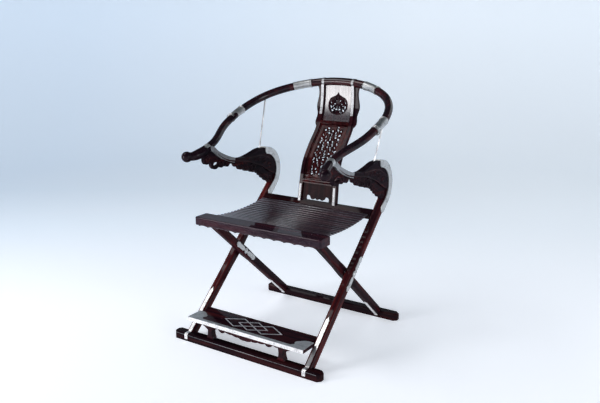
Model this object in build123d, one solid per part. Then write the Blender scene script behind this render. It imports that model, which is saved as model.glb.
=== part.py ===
from build123d import *
import math
import os

# A folding horseshoe chair, in millimetres. It faces -y, +x is the sitter's left, the floor is z = 0.
# The side view is the y-z plane: front legs run up to the rear, rear legs run up to the front,
# and each pair crosses at a pivot pin.

os.makedirs("parts", exist_ok=True)

# Fits
seat_gap = 0.15
running_gap = 0.3
pin_play = 0.05
overrun = 60

# Floor bars
front_bar_length = 706
rear_bar_length = 692
floor_bar_width = 44
floor_bar_height = 32
floor_bar_chamfer = 6
floor_bar_end_cut = 13
front_bar_y = -348
rear_bar_y = 298

# Legs and their pivot
pivot_y = -31
pivot_z = 303
leg_width = 34
leg_depth = 34
leg_rounding = 10
leg_swell = 3
leg_swell_reach = 92
front_leg_x = 285
front_leg_setback = 9
leg_side_gap = 2
neck_start = 366
neck_radius = 107
neck_end_angle = 86
neck_overcut_angle = 10

# Pivot pins, washers and plates
pin_diameter = 12
pin_head_diameter = 19
pin_head_height = 5
washer_diameter = 28
plate_thickness = 1.6
plate_width = 24
plate_length = 164
plate_neck_width = 9
plate_eye_diameter = 23.6
plate_tongue_length = 44
plate_tongue_width = 19
plate_lobe_radius = 9.6
plate_lobe_place_shares = (0.306, 0.854)
plate_ear_radius = 7
plate_ear_place_share = 0.78
plate_ear_spread_share = 0.42

# Front seat rail
front_rail_length = 596
front_rail_width = 72
front_rail_height = 32
front_rail_y = -243
front_rail_top = 503
front_rail_corner = 9
front_rail_rounding = 3.5

# Rear seat rail, set square to the front legs
rear_rail_along = 281
rear_rail_width = 36
rear_rail_height = 30
rear_rail_rounding = 4

# Seat of strung slats
slat_count = 16
slat_length = 528
slat_width = 17
slat_thickness = 7
slat_chamfer = 1.5
seat_front_y = -194
seat_front_z = 492
seat_rear_y = 135
seat_rear_z = 499
seat_sag = 12
cord_diameter = 2.4
cord_hole_diameter = 3
cord_place_shares = (-0.88, -0.45, 0, 0.45, 0.88)

# Splat: the course of its front face in the side view
splat_foot_y = 165
splat_foot_z = 503
splat_height = 497
splat_set_back = 172
splat_shares = (
    (0.050, 0.120),
    (0.110, 0.245),
    (0.215, 0.360),
    (0.360, 0.442),
    (0.541, 0.523),
    (0.744, 0.603),
    (0.884, 0.686),
    (0.965, 0.780),
    (1.000, 1.000),
)
stile_width = 16
stile_depth = 24
stile_foot_x = 87
stile_top_x = 75
panel_recess = 9
panel_thickness = 8
upper_rail_share = 0.676
upper_rail_height = 12
lower_rail_share = 0.189
lower_rail_height = 15
splat_rail_proud = 1.5

# Crest rail: how far it reaches sideways, forward and down from its top at the back
crest_half_width = 346
crest_reach = 650
crest_back_y = 354.4
crest_rise = 14
crest_arm_z = 742
crest_shares = (
    (0.338, 0.013, 0.030),
    (0.639, 0.081, 0.112),
    (0.873, 0.201, 0.240),
    (0.986, 0.355, 0.402),
    (0.992, 0.519, 0.562),
    (0.912, 0.680, 0.724),
    (0.832, 0.842, 0.876),
    (0.848, 0.930, 0.957),
    (0.922, 0.988, 0.985),
)
crest_end_direction = (1, -0.55, 0.1)
crest_back_radius = 17.5
crest_arm_radius = 15
knob_radius = 20.5
crest_joint_share = 0.189
crest_side_joint_share = 0.571
crest_end_share = 0.99
sleeve_half_length = 42
sleeve_wall = 1.3
crest_steps = (3, 5, 5)
sleeve_steps = 2

# Arm brackets between goose neck and crest rail: a stout saddle, its top and lower edges in shares
# forward and up, and a thin carved fringe, its lobes in shares forward, up and the bulge of each lobe
bracket_thickness = 30
fringe_thickness = 14
arm_span = 360
arm_lift = 64
arm_depth = 150
arm_top_shares = (
    (0.080, -0.017),
    (0.158, -0.048),
    (0.252, -0.166),
    (0.336, -0.267),
    (0.439, -0.361),
    (0.536, -0.345),
    (0.647, -0.212),
    (0.744, -0.041),
    (0.830, 0.155),
    (0.919, 0.405),
    (0.980, 0.655),
    (1.036, 0.850),
    (1.080, 0.830),
    (1.125, 0.650),
    (1.163, 0.380),
)
arm_belly_shares = (
    (1.036, 0.266),
    (0.966, 0.133),
    (0.869, -0.021),
    (0.758, -0.141),
    (0.619, -0.221),
    (0.480, -0.274),
    (0.369, -0.327),
    (0.230, -0.434),
    (0.091, -0.567),
    (-0.048, -0.754),
    (-0.186, -0.887),
)
arm_lobe_shares = (
    (-0.136, -1.127, 0),
    (-0.036, -1.034, 0.20),
    (0.040, -0.925, 0.20),
    (0.097, -0.821, 0.25),
    (0.147, -0.747, 0.25),
    (0.194, -0.627, 0.25),
    (0.353, -0.561, 0.14),
    (0.450, -0.461, 0.24),
    (0.555, -0.381, 0.28),
    (0.628, -0.247, 0.28),
    (0.703, -0.234, 0.10),
    (0.800, -0.201, 0.40),
    (0.900, -0.227, 0.34),
    (1.036, -0.141, 0.34),
    (1.053, -0.061, 0.10),
    (1.158, 0.060, 0.42),
)
arm_inset = 12
arm_slot_half_length = 18
arm_slot_half_height = 7.5
arm_slot_shares = (0.947, -0.154)
arm_strip_start_share = 0.51
arm_strip_end_share = 0.895
arm_strip_points = 8
metal_skin = 1.3
metal_lip = 20

# Neck bands, round-ended above the rear seat rail
neck_band_start = 301
neck_band_point = 14
neck_band_inset = 4
neck_cap_angle = 5
neck_cap_bulge_angle = 8

# Arm rods, from the arm bracket up to the third turning point of the crest rail
rod_diameter = 6
rod_foot_y = 145
rod_foot_x = 285
rod_foot_z = 719
rod_top_point = 3

# Openwork, apron and trim of the splat
medallion_share = 0.827
medallion_half_width = 46
medallion_half_height = 41
medallion_tip = 8
medallion_rim = 5
medallion_shoulder_shares = ((1.0, 0.05), (0.80, 0.68), (0.26, 1.0))
medallion_ring_pitch = 15
medallion_ring_radius = 8.2
medallion_eye_radius = 4.6
medallion_reach = 3
fret_margin = 15
fret_rows = 12
fret_columns = 5
fret_hole_shares = (0.44, 0.27)
fret_leans = (38, -52, 12, -30, 64, -14, 48)
apron_notch_half_width = 57
apron_notch_height = 32
apron_drop = 16
apron_cusp_shares = ((-1, 0), (-0.62, 0.45), (-0.2, 0.45), (0.2, 0.45), (0.62, 0.45), (1, 0))
apron_crown_shares = ((-0.85, 1), (-0.36, 0), (0, 0), (0.36, 0), (0.85, 1))
flange_width = 23
flange_thickness = 12
flange_foot_share = 0.634
flange_wave_shares = ((0.05, 0), (0.62, 0.12), (0.5, 0.28), (0.84, 0.46), (0.66, 0.66), (1.0, 1))
splat_strap_width = 12
splat_strap_foot_share = 0.744
splat_shoe_width = 10
splat_shoe_lift = 6
splat_shoe_height = 73

# Straps at the floor bars
strap_width = 15
strap_thickness = 1.5
strap_foot_z = 9
front_strap_reach = 213
rear_strap_reach = 150
strap_point_length = 16
strap_point_shares = (0.45, 0.42)

# Footrest
footrest_top_z = 105
footrest_front_y = -362.5
footrest_rear_y = -233
footrest_wing = 10
footrest_side_gap = 2
footrest_thickness = 14
footrest_step_y = -287
footrest_pin_diameter = 10
footrest_pin_y = -242
footrest_pin_depth = 12
foot_x = 172
foot_width = 32
foot_depth = 26
foot_setback = 8
foot_waist_shares = (0.62, 0.3)
hanging_apron_setback = 13
hanging_apron_thickness = 9
hanging_apron_height = 26
hanging_apron_shares = (
    (-1, 0.50),
    (-0.86, 0.36),
    (-0.73, 0.84),
    (-0.62, 0.52),
    (-0.40, 0.66),
    (-0.20, 0.80),
    (0, 1),
)
hanging_apron_bulge_share = 0.10
ear_inset = 10
ear_drop = 23
ear_shares = ((0.12, 0.30), (0.30, 0.22), (0.70, 0.45))
edge_band_thickness = 1.5
end_plate_length = 78
end_plate_thickness = 1
end_plate_shares = (
    (0.32, 1.00),
    (0.52, 0.90),
    (0.66, 0.76),
    (0.80, 0.58),
    (0.70, 0.40),
    (0.84, 0.22),
    (1.00, 0),
)
inlay_width = 4.5
inlay_spacing = 68
inlay_half_length = 73
inlay_half_depth = 41
inlay_y = -294

# Places worked out from the sizes above
front_leg_angle = math.atan2(pivot_z - floor_bar_height / 2, pivot_y - front_bar_y - front_leg_setback)
rear_leg_angle = math.atan2(pivot_z - floor_bar_height / 2, rear_bar_y - pivot_y)
rear_leg_x = front_leg_x - leg_width - leg_side_gap
front_rail_bottom = front_rail_top - front_rail_height
front_leg_up = (math.cos(front_leg_angle), math.sin(front_leg_angle))
front_leg_out = (-math.sin(front_leg_angle), math.cos(front_leg_angle))
rear_leg_up = (-math.cos(rear_leg_angle), math.sin(rear_leg_angle))
rear_leg_out = (math.sin(rear_leg_angle), math.cos(rear_leg_angle))
footrest_pin_z = footrest_top_z - footrest_thickness / 2
footrest_wide = front_leg_x - leg_width / 2 + footrest_wing
footrest_narrow = front_leg_x - leg_width / 2 - footrest_side_gap
splat_top = splat_foot_z + splat_height
upper_rail_z = splat_foot_z + splat_height * upper_rail_share
lower_rail_z = splat_foot_z + splat_height * lower_rail_share
medallion_z = splat_foot_z + splat_height * medallion_share
flange_foot_z = splat_foot_z + splat_height * flange_foot_share
splat_strap_foot_z = splat_foot_z + splat_height * splat_strap_foot_share
crest_back_z = splat_top + crest_rise
crest_fall = crest_back_z - crest_arm_z


def on_front_leg(along, across):
    """Side-view point, along the front leg up from the pivot and across to its upper side."""
    return (
        pivot_y + along * front_leg_up[0] + across * front_leg_out[0],
        pivot_z + along * front_leg_up[1] + across * front_leg_out[1],
    )


def on_rear_leg(along, across):
    """Side-view point, along the rear leg up from the pivot and across to its upper side."""
    return (
        pivot_y + along * rear_leg_up[0] + across * rear_leg_out[0],
        pivot_z + along * rear_leg_up[1] + across * rear_leg_out[1],
    )


neck_centre = on_front_leg(neck_start, neck_radius - leg_depth / 2)


def on_neck(radius, angle):
    return (
        neck_centre[0] + radius * math.cos(math.radians(angle)),
        neck_centre[1] + radius * math.sin(math.radians(angle)),
    )


neck_top = on_neck(neck_radius, neck_end_angle)
neck_tangent_angle = math.degrees(front_leg_angle) - 90


def on_arm(share_pair, depth):
    """Side-view point of the arm bracket, in shares of its span forward and of a depth up."""
    return (neck_top[0] - share_pair[0] * arm_span, neck_top[1] + share_pair[1] * depth)


def side_prism(edges, x_centre, width):
    """Prism along x with an outline given in the side view."""
    face = Plane.YZ * make_face(edges)
    return Pos(x_centre - width / 2, 0, 0) * extrude(face, amount=width)


def front_prism(edges, depth_from, depth_to):
    """Prism along y with an outline given in the front view."""
    face = Plane.XZ * make_face(edges)
    return Pos(0, depth_to, 0) * extrude(face, amount=depth_to - depth_from)


def polygon(points):
    closed = list(points) + [points[0]]
    return [Line(a, b) for a, b in zip(closed, closed[1:])]


def slab(x_range, y_range, z_range):
    """Box between two limits on each axis."""
    size = [high - low for low, high in (x_range, y_range, z_range)]
    middle = [(high + low) / 2 for low, high in (x_range, y_range, z_range)]
    return Pos(*middle) * Box(*size)


def far_edges(solid, axis):
    groups = solid.edges().group_by(axis)
    return groups[0] + groups[-1]


def mirrored(solid):
    return mirror(solid, about=Plane.YZ)


def both(solid):
    return Compound(children=list(solid.solids()) + list(mirrored(solid).solids()))


def group(pieces):
    solids = []
    for piece in pieces:
        solids += list(piece.solids())
    return Compound(children=solids)


def save(piece, name):
    export_step(piece, f"parts/{name}.step")


def floor_bar(y_centre, length):
    bar = slab(
        (-length / 2, length / 2),
        (y_centre - floor_bar_width / 2, y_centre + floor_bar_width / 2),
        (0, floor_bar_height),
    )
    bar = chamfer(bar.edges().filter_by(Axis.Z), floor_bar_end_cut)
    return chamfer(bar.faces().sort_by(Axis.Z)[-1].edges(), floor_bar_chamfer)


def leg_side(place, side, start, end, direction):
    """One long side of a leg's outline, straight with a swelling at the pivot."""
    edge = side * leg_depth / 2
    swollen = side * (leg_depth / 2 + leg_swell)
    below = place(-leg_swell_reach, edge)
    above = place(leg_swell_reach, edge)
    return [
        Line(place(start, edge), below),
        Spline(below, place(0, swollen), above, tangents=[direction, direction]),
        Line(above, place(end, edge)),
    ]


def rear_leg():
    reach = math.hypot(rear_bar_y - pivot_y, pivot_z) + floor_bar_width
    top = math.hypot(front_rail_y - pivot_y, front_rail_top - pivot_z) + front_rail_width
    edges = leg_side(on_rear_leg, 1, -reach, top, rear_leg_up)
    edges += leg_side(on_rear_leg, -1, -reach, top, rear_leg_up)
    for along in (-reach, top):
        edges.append(Line(on_rear_leg(along, leg_depth / 2), on_rear_leg(along, -leg_depth / 2)))
    leg = side_prism(edges, rear_leg_x, leg_width)
    leg = fillet(far_edges(leg, Axis.X), leg_rounding)
    wide = (rear_leg_x - overrun, rear_leg_x + overrun)
    bar_front = rear_bar_y - floor_bar_width / 2
    rail_back = front_rail_y + front_rail_width / 2
    leg -= slab(wide, (bar_front, bar_front + reach), (-reach, floor_bar_height))
    leg -= slab(wide, (rail_back - reach, rail_back), (front_rail_bottom, front_rail_bottom + reach))
    leg = leg.solids().sort_by(SortBy.VOLUME)[-1]
    bore = pin_diameter / 2 + pin_play
    return leg - Pos(rear_leg_x, pivot_y, pivot_z) * Rot(0, 90, 0) * Cylinder(bore, leg_width * 2)


def front_leg():
    reach = math.hypot(front_bar_y - pivot_y, pivot_z) + floor_bar_width
    end_angle = neck_end_angle + neck_overcut_angle
    middle_angle = (neck_tangent_angle + end_angle) / 2
    inner_radius = neck_radius - leg_depth
    edges = leg_side(on_front_leg, 1, -reach, neck_start, front_leg_up)
    edges += leg_side(on_front_leg, -1, -reach, neck_start, front_leg_up)
    for radius in (inner_radius, neck_radius):
        edges.append(
            ThreePointArc(
                on_neck(radius, neck_tangent_angle),
                on_neck(radius, middle_angle),
                on_neck(radius, end_angle),
            )
        )
    edges.append(Line(on_neck(inner_radius, end_angle), on_neck(neck_radius, end_angle)))
    edges.append(Line(on_front_leg(-reach, leg_depth / 2), on_front_leg(-reach, -leg_depth / 2)))
    leg = side_prism(edges, front_leg_x, leg_width)
    leg = fillet(far_edges(leg, Axis.X), leg_rounding)
    wide = (front_leg_x - overrun, front_leg_x + overrun)
    bar_back = front_bar_y + floor_bar_width / 2
    leg -= slab(wide, (bar_back - reach, bar_back), (-reach, floor_bar_height))
    cut = polygon(
        [
            on_neck(0, neck_end_angle),
            on_neck(neck_radius + overrun, neck_end_angle),
            on_neck(neck_radius + overrun, neck_end_angle + 2 * neck_overcut_angle),
        ]
    )
    leg -= side_prism(cut, front_leg_x, leg_width * 2)
    leg = leg.solids().sort_by(SortBy.VOLUME)[-1]
    leg -= Pos(front_leg_x, pivot_y, pivot_z) * Rot(0, 90, 0) * Cylinder(pin_diameter / 2, leg_width * 2)
    socket = Cylinder(footrest_pin_diameter / 2 + pin_play, footrest_pin_depth * 2)
    inner_face = front_leg_x - leg_width / 2
    return leg - Pos(inner_face, footrest_pin_y, footrest_pin_z) * Rot(0, 90, 0) * socket


def front_seat_rail():
    rail = slab(
        (-front_rail_length / 2, front_rail_length / 2),
        (front_rail_y - front_rail_width / 2, front_rail_y + front_rail_width / 2),
        (front_rail_bottom, front_rail_top),
    )
    rail = fillet(rail.edges().filter_by(Axis.Z), front_rail_corner)
    return fillet(rail.faces().sort_by(Axis.Z)[-1].edges(), front_rail_rounding)


def rear_seat_rail():
    half_width = rear_rail_width / 2
    half_height = rear_rail_height / 2
    corners = [
        on_front_leg(rear_rail_along + a * half_width, b * half_height)
        for a, b in ((-1, -1), (1, -1), (1, 1), (-1, 1))
    ]
    length = 2 * front_leg_x - leg_width
    rail = side_prism(polygon(corners), 0, length)
    return fillet(rail.edges().filter_by(Axis.X), rear_rail_rounding)


crest_points = [(0, crest_back_y, crest_back_z)]
for side_share, reach_share, fall_share in crest_shares:
    crest_points.append(
        (
            side_share * crest_half_width,
            crest_back_y - reach_share * crest_reach,
            crest_back_z - fall_share * crest_fall,
        )
    )
crest_line = Spline(*crest_points, tangents=[(1, 0, 0), crest_end_direction])
crest_length = crest_line.length


def crest_radius(share):
    """The crest rail is stoutest at the back and thins evenly toward the arms."""
    return crest_back_radius + (crest_arm_radius - crest_back_radius) * min(share / crest_end_share, 1)


def crest_section(share, radius):
    direction = crest_line % share
    sideways = direction.cross(Vector(0, 0, 1)).normalized()
    plane = Plane(origin=crest_line @ share, x_dir=sideways, z_dir=direction)
    return plane * Circle(radius)


def crest_tube(start, end, extra, steps):
    shares = [start + (end - start) * i / steps for i in range(steps + 1)]
    return loft([crest_section(share, crest_radius(share) + extra) for share in shares])


def crest_centre(extra):
    half = crest_tube(0, crest_joint_share, extra, crest_steps[0])
    return half + mirrored(half)


def crest_side(extra):
    return crest_tube(crest_joint_share, crest_side_joint_share, extra, crest_steps[1])


def crest_arm(extra):
    return crest_tube(crest_side_joint_share, crest_end_share, extra, crest_steps[2])


def crest_end():
    return crest_arm(0) + Pos(crest_line @ 1) * Sphere(knob_radius)


def sleeve(joint_share, rails):
    """Metal sleeve over a joint of the crest rail."""
    reach = sleeve_half_length / crest_length
    piece = crest_tube(joint_share - reach, joint_share + reach, sleeve_wall, sleeve_steps)
    for rail in rails:
        piece -= rail
    return piece.solids().sort_by(SortBy.VOLUME)[-1]


def arm_top_edge():
    return [neck_top] + [on_arm(pair, arm_lift) for pair in arm_top_shares]


def arm_bracket(leg, rail_end):
    """Stout saddle with a thin fringe of carved lobes below it."""
    top = arm_top_edge()
    inner_radius = neck_radius - leg_depth + arm_inset
    middle_angle = (neck_tangent_angle + neck_end_angle) / 2
    high = on_neck(inner_radius, neck_end_angle)
    saddle = [Spline(*top), Line(high, neck_top)]
    belly = [on_arm(pair, arm_depth) for pair in arm_belly_shares]
    body_edges = saddle + [
        Line(top[-1], belly[0]),
        Spline(*belly),
        ThreePointArc(belly[-1], on_neck(inner_radius, middle_angle), high),
    ]
    lobes = [on_arm(shares[:2], arm_depth) for shares in arm_lobe_shares]
    low = on_neck(inner_radius, neck_tangent_angle)
    fringe_edges = saddle + [
        Line(top[-1], lobes[-1]),
        Line(lobes[0], low),
        ThreePointArc(low, on_neck(inner_radius, middle_angle), high),
    ]
    for a, b, (_, _, bulge_share) in zip(lobes, lobes[1:], arm_lobe_shares[1:]):
        chord_y, chord_z = b[0] - a[0], b[1] - a[1]
        bulge = (
            (a[0] + b[0]) / 2 - chord_z * bulge_share,
            (a[1] + b[1]) / 2 + chord_y * bulge_share,
        )
        fringe_edges.append(ThreePointArc(a, bulge, b))
    body = side_prism(body_edges, front_leg_x, bracket_thickness)
    fringe = side_prism(fringe_edges, front_leg_x, fringe_thickness)
    slot_place = Plane.YZ * Pos(*on_arm(arm_slot_shares, arm_depth))
    slot = slot_place * Ellipse(arm_slot_half_length, arm_slot_half_height)
    fringe -= Pos(front_leg_x - fringe_thickness, 0, 0) * extrude(slot, amount=2 * fringe_thickness)
    bracket = (body + fringe) - leg - rail_end
    return bracket.solids().sort_by(SortBy.VOLUME)[-1]


def pivot_pin():
    length = 2 * leg_width + leg_side_gap + 2 * plate_thickness + running_gap
    inner_end = rear_leg_x - leg_width / 2 - plate_thickness - running_gap
    middle = Pos(inner_end + length / 2, pivot_y, pivot_z)
    shaft = middle * Rot(0, 90, 0) * Cylinder(pin_diameter / 2, length)
    cap_radius = (pin_head_diameter**2 / 4 + pin_head_height**2) / (2 * pin_head_height)
    dome = Sphere(cap_radius) & Pos(0, 0, cap_radius * 2 - pin_head_height) * Box(
        cap_radius * 4, cap_radius * 4, cap_radius * 2
    )
    dome = Pos(0, 0, pin_head_height - cap_radius) * dome
    outer = Pos(inner_end + length, pivot_y, pivot_z) * Rot(0, 90, 0) * dome
    inner = Pos(inner_end, pivot_y, pivot_z) * Rot(0, -90, 0) * dome
    return shaft + outer + inner


def pivot_washer():
    outer = front_leg_x - leg_width / 2
    thickness = leg_side_gap - running_gap
    washer = Cylinder(washer_diameter / 2, thickness) - Cylinder(pin_diameter / 2, thickness * 2)
    return Pos(outer - thickness / 2, pivot_y, pivot_z) * Rot(0, 90, 0) * washer


def pivot_plate(place, x_from, bore):
    """Plate along a leg: two cloud-shaped lobes joined by a narrow neck round the pin."""
    half = plate_length / 2
    plate = Rectangle(plate_length - plate_width, plate_neck_width)
    for side in (-1, 1):
        tongue = Rectangle(plate_tongue_length, plate_tongue_width)
        plate += Pos(side * (half + plate_width / 2) / 2, 0) * tongue
        for share in plate_lobe_place_shares:
            plate += Pos(side * share * half, 0) * Circle(plate_lobe_radius)
        for across in (-1, 1):
            spread = across * plate_ear_spread_share * plate_width / 2
            plate += Pos(side * plate_ear_place_share * half, spread) * Circle(plate_ear_radius)
    plate += Circle(plate_eye_diameter / 2)
    plate -= Circle(bore)
    ahead = place(overrun, 0)
    along = Vector(0, ahead[0] - pivot_y, ahead[1] - pivot_z)
    side = Plane(origin=(x_from, pivot_y, pivot_z), x_dir=along, z_dir=(1, 0, 0))
    return side * extrude(plate, amount=plate_thickness)


def splat_y(offset):
    """Points of the splat's front face in the side view, set back by an offset."""
    return [(splat_foot_y + offset, splat_foot_z)] + [
        (splat_foot_y + a * splat_set_back + offset, splat_foot_z + b * splat_height)
        for a, b in splat_shares
    ]


def splat_sheet(offset, thickness):
    """Sheet that follows the splat's course, wide in x."""
    front = splat_y(offset)
    back = splat_y(offset + thickness)
    edges = [Spline(*front), Line(front[-1], back[-1]), Spline(*back), Line(back[0], front[0])]
    return side_prism(edges, 0, crest_half_width)


def stile_x(z):
    share = (z - splat_foot_z) / splat_height
    return stile_foot_x + (stile_top_x - stile_foot_x) * share


def stile_outline(inner, outer, z_low, z_high):
    """Front-view strip beside the stile's centre line, from one offset to another."""
    return polygon(
        [
            (stile_x(z_low) + inner, z_low),
            (stile_x(z_low) + outer, z_low),
            (stile_x(z_high) + outer, z_high),
            (stile_x(z_high) + inner, z_high),
        ]
    )


splat_front = splat_foot_y - overrun
splat_behind = splat_foot_y + splat_set_back + overrun


def across_splat(z_low, z_high):
    """Front-view outline between the stiles."""
    half = stile_width / 2
    return polygon(
        [
            (half - stile_x(z_low), z_low),
            (stile_x(z_low) - half, z_low),
            (stile_x(z_high) - half, z_high),
            (half - stile_x(z_high), z_high),
        ]
    )


def splat_piece(edges, offset, thickness):
    return front_prism(edges, splat_front, splat_behind) & splat_sheet(offset, thickness)


def pierced(shapes, offset, thickness):
    """Sheet of the splat with a front-view face that has holes."""
    solid = Pos(0, splat_behind, 0) * extrude(Plane.XZ * shapes, amount=splat_behind - splat_front)
    return solid & splat_sheet(offset, thickness)


def stile(crest, rear_rail):
    half = stile_width / 2
    piece = splat_piece(stile_outline(-half, half, splat_foot_z - overrun, splat_top), 0, stile_depth)
    piece = piece - crest - rear_rail
    return piece.solids().sort_by(SortBy.VOLUME)[-1]


def splat_rail(z_centre, height):
    edges = across_splat(z_centre - height / 2, z_centre + height / 2)
    return splat_piece(edges, -splat_rail_proud, stile_depth)


def medallion_outline(inset):
    """Ogee, or peach, outline in the front view."""
    half_width = medallion_half_width - inset
    half_height = medallion_half_height - inset
    low = (0, medallion_z - half_height)
    tip = (0, medallion_z + half_height + medallion_tip)
    edges = []
    for side in (1, -1):
        points = [
            (side * a * half_width, medallion_z + b * half_height)
            for a, b in medallion_shoulder_shares
        ]
        edges.append(Spline(low, *points, tip))
    return edges


def top_panel(crest):
    z_low = upper_rail_z + upper_rail_height / 2
    piece = splat_piece(across_splat(z_low, splat_top), panel_recess, panel_thickness)
    eye = front_prism(medallion_outline(0), splat_front, splat_behind)
    piece = piece - eye - crest
    return piece.solids().sort_by(SortBy.VOLUME)[-1]


def medallion():
    """Openwork inside the ogee: a rim and a lattice of rings."""
    area = make_face(medallion_outline(0))
    shapes = area - make_face(medallion_outline(medallion_rim))
    ring = Circle(medallion_ring_radius) - Circle(medallion_eye_radius)
    for row in range(-medallion_reach, medallion_reach + 1):
        for column in range(-medallion_reach, medallion_reach + 1):
            shapes += Pos(column * medallion_ring_pitch, medallion_z + row * medallion_ring_pitch) * ring
    return pierced(shapes & area, panel_recess, panel_thickness)


def middle_panel():
    """Openwork: a sheet pierced by rows of leaning, leaf-shaped holes."""
    z_low = lower_rail_z + lower_rail_height / 2
    z_high = upper_rail_z - upper_rail_height / 2
    sheet = make_face(across_splat(z_low, z_high))
    row_step = (z_high - z_low - 2 * fret_margin) / fret_rows
    across, up = fret_hole_shares
    for row in range(fret_rows):
        z = z_low + fret_margin + (row + 1 / 2) * row_step
        half_field = stile_x(z) - stile_width / 2 - fret_margin
        column_step = 2 * half_field / fret_columns
        for column in range(fret_columns):
            x = -half_field + (column + 1 / 2) * column_step
            lean = fret_leans[(row * fret_columns + column) % len(fret_leans)]
            sheet -= Pos(x, z) * Rot(0, 0, lean) * Ellipse(column_step * across, row_step * up)
    return pierced(sheet, panel_recess, panel_thickness)


def apron_panel(rear_rail):
    """Panel between the stiles' feet, with a cloud-shaped opening at the rear seat rail."""
    sheet = make_face(across_splat(splat_foot_z - overrun, lower_rail_z - lower_rail_height / 2))
    low = splat_foot_z - overrun
    notch_top = splat_foot_z + apron_notch_height
    half = apron_notch_half_width

    def on_notch(shares):
        return (shares[0] * half, notch_top - apron_drop + shares[1] * apron_drop)

    cusps = [on_notch(pair) for pair in apron_cusp_shares]
    crowns = [on_notch(pair) for pair in apron_crown_shares]
    edges = [ThreePointArc(a, crown, b) for a, crown, b in zip(cusps, crowns, cusps[1:])]
    edges.append(Line(cusps[-1], (half, low)))
    edges.append(Line((half, low), (-half, low)))
    edges.append(Line((-half, low), cusps[0]))
    piece = pierced(sheet - make_face(edges), panel_recess, panel_thickness) - rear_rail
    return group([s for s in piece.solids() if s.bounding_box().max.Z > notch_top])


def flange(crest):
    """Carved wing beside the top of the splat, with a waved outer edge."""
    inner = stile_width / 2
    height = splat_top - flange_foot_z
    points = []
    for out_share, up_share in flange_wave_shares:
        z = flange_foot_z + height * up_share
        points.append((stile_x(z) + inner + flange_width * out_share, z))
    high = (stile_x(splat_top) + inner, splat_top)
    low = (stile_x(flange_foot_z) + inner, flange_foot_z)
    edges = [Spline(*points), Line(points[-1], high), Line(high, low), Line(low, points[0])]
    inset = (stile_depth - flange_thickness) / 2
    piece = splat_piece(edges, inset, flange_thickness) - crest
    return piece.solids().sort_by(SortBy.VOLUME)[-1]


def splat_strap(crest, neighbours):
    """Band round the crest rail with a tail down the front of the stile."""
    half = splat_strap_width / 2
    tail = splat_piece(stile_outline(-half, half, splat_strap_foot_z, splat_top), -metal_skin, metal_skin)
    share = stile_top_x / crest_length
    reach = half / crest_length
    strap = tail + crest_tube(share - reach, share + reach, metal_skin, 1)
    strap -= crest
    for neighbour in neighbours:
        strap -= neighbour
    return strap.solids().sort_by(SortBy.VOLUME)[-1]


def splat_shoe():
    half = splat_shoe_width / 2
    low = splat_foot_z + splat_shoe_lift
    outline = stile_outline(-half, half, low, low + splat_shoe_height)
    return splat_piece(outline, -metal_skin, metal_skin)


def arm_strip(bracket, rail_end):
    """Metal on the saddle of an arm bracket, lipped over both faces."""
    curve = Spline(*arm_top_edge())
    reach = arm_strip_end_share - arm_strip_start_share
    outer, inner = [], []
    for index in range(arm_strip_points + 1):
        share = arm_strip_start_share + reach * index / arm_strip_points
        point, along = curve @ share, curve % share
        normal = (along.Y, -along.X)
        outer.append((point.X + normal[0] * metal_skin, point.Y + normal[1] * metal_skin))
        inner.append((point.X - normal[0] * metal_lip, point.Y - normal[1] * metal_lip))
    edges = [Spline(*outer), Line(outer[-1], inner[-1]), Spline(*inner), Line(inner[0], outer[0])]
    strip = side_prism(edges, front_leg_x, bracket_thickness + 2 * metal_skin)
    strip = strip - bracket - rail_end
    return strip.solids().sort_by(SortBy.VOLUME)[-1]


def neck_band(leg, bracket, rear_rail):
    """Metal sheath round the back and sides of the goose neck, round-ended down the leg."""
    back = -(leg_depth / 2 + metal_skin)
    front = leg_depth / 2 - neck_band_inset
    outer = neck_radius + metal_skin
    inner = neck_radius - leg_depth + neck_band_inset
    top_angle = neck_end_angle + neck_cap_angle
    middle_angle = (neck_tangent_angle + neck_end_angle) / 2
    shoulder = neck_band_start + neck_band_point
    tongue = on_front_leg(neck_band_start, 0)
    cap = on_neck((outer + inner) / 2, neck_end_angle + neck_cap_bulge_angle)
    edges = [
        ThreePointArc(on_front_leg(shoulder, back), tongue, on_front_leg(shoulder, front)),
        Line(on_front_leg(shoulder, front), on_neck(inner, neck_tangent_angle)),
        ThreePointArc(
            on_neck(inner, neck_tangent_angle),
            on_neck(inner, middle_angle),
            on_neck(inner, neck_end_angle),
        ),
        ThreePointArc(on_neck(inner, neck_end_angle), cap, on_neck(outer, top_angle)),
        ThreePointArc(
            on_neck(outer, top_angle),
            on_neck(outer, middle_angle),
            on_neck(outer, neck_tangent_angle),
        ),
        Line(on_neck(outer, neck_tangent_angle), on_front_leg(shoulder, back)),
    ]
    band = side_prism(edges, front_leg_x, leg_width + 2 * metal_skin)
    band = band - leg - bracket - rear_rail
    return band.solids().sort_by(SortBy.VOLUME)[-1]


def arm_rod(bracket, crest):
    foot = Vector(rod_foot_x, rod_foot_y, rod_foot_z)
    top = Vector(*crest_points[rod_top_point])
    length = (top - foot).length
    rod = Plane(origin=foot, z_dir=top - foot) * Pos(0, 0, length / 2) * Cylinder(rod_diameter / 2, length)
    rod = rod - bracket - crest
    return rod.solids().sort_by(SortBy.VOLUME)[-1]


def pointed_strip(length, width, thickness):
    """Flat strip with an ogee point, lying along +x from its square end."""
    half = width / 2
    body = length - strap_point_length
    along, across = strap_point_shares
    waist = (body + strap_point_length * along, half * across)
    face = make_face(
        [
            Line((0, -half), (0, half)),
            Line((0, half), (body, half)),
            Spline((body, half), waist, (length, 0)),
            Spline((length, 0), (waist[0], -waist[1]), (body, -half)),
            Line((body, -half), (0, -half)),
        ]
    )
    return extrude(face, amount=thickness)


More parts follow.
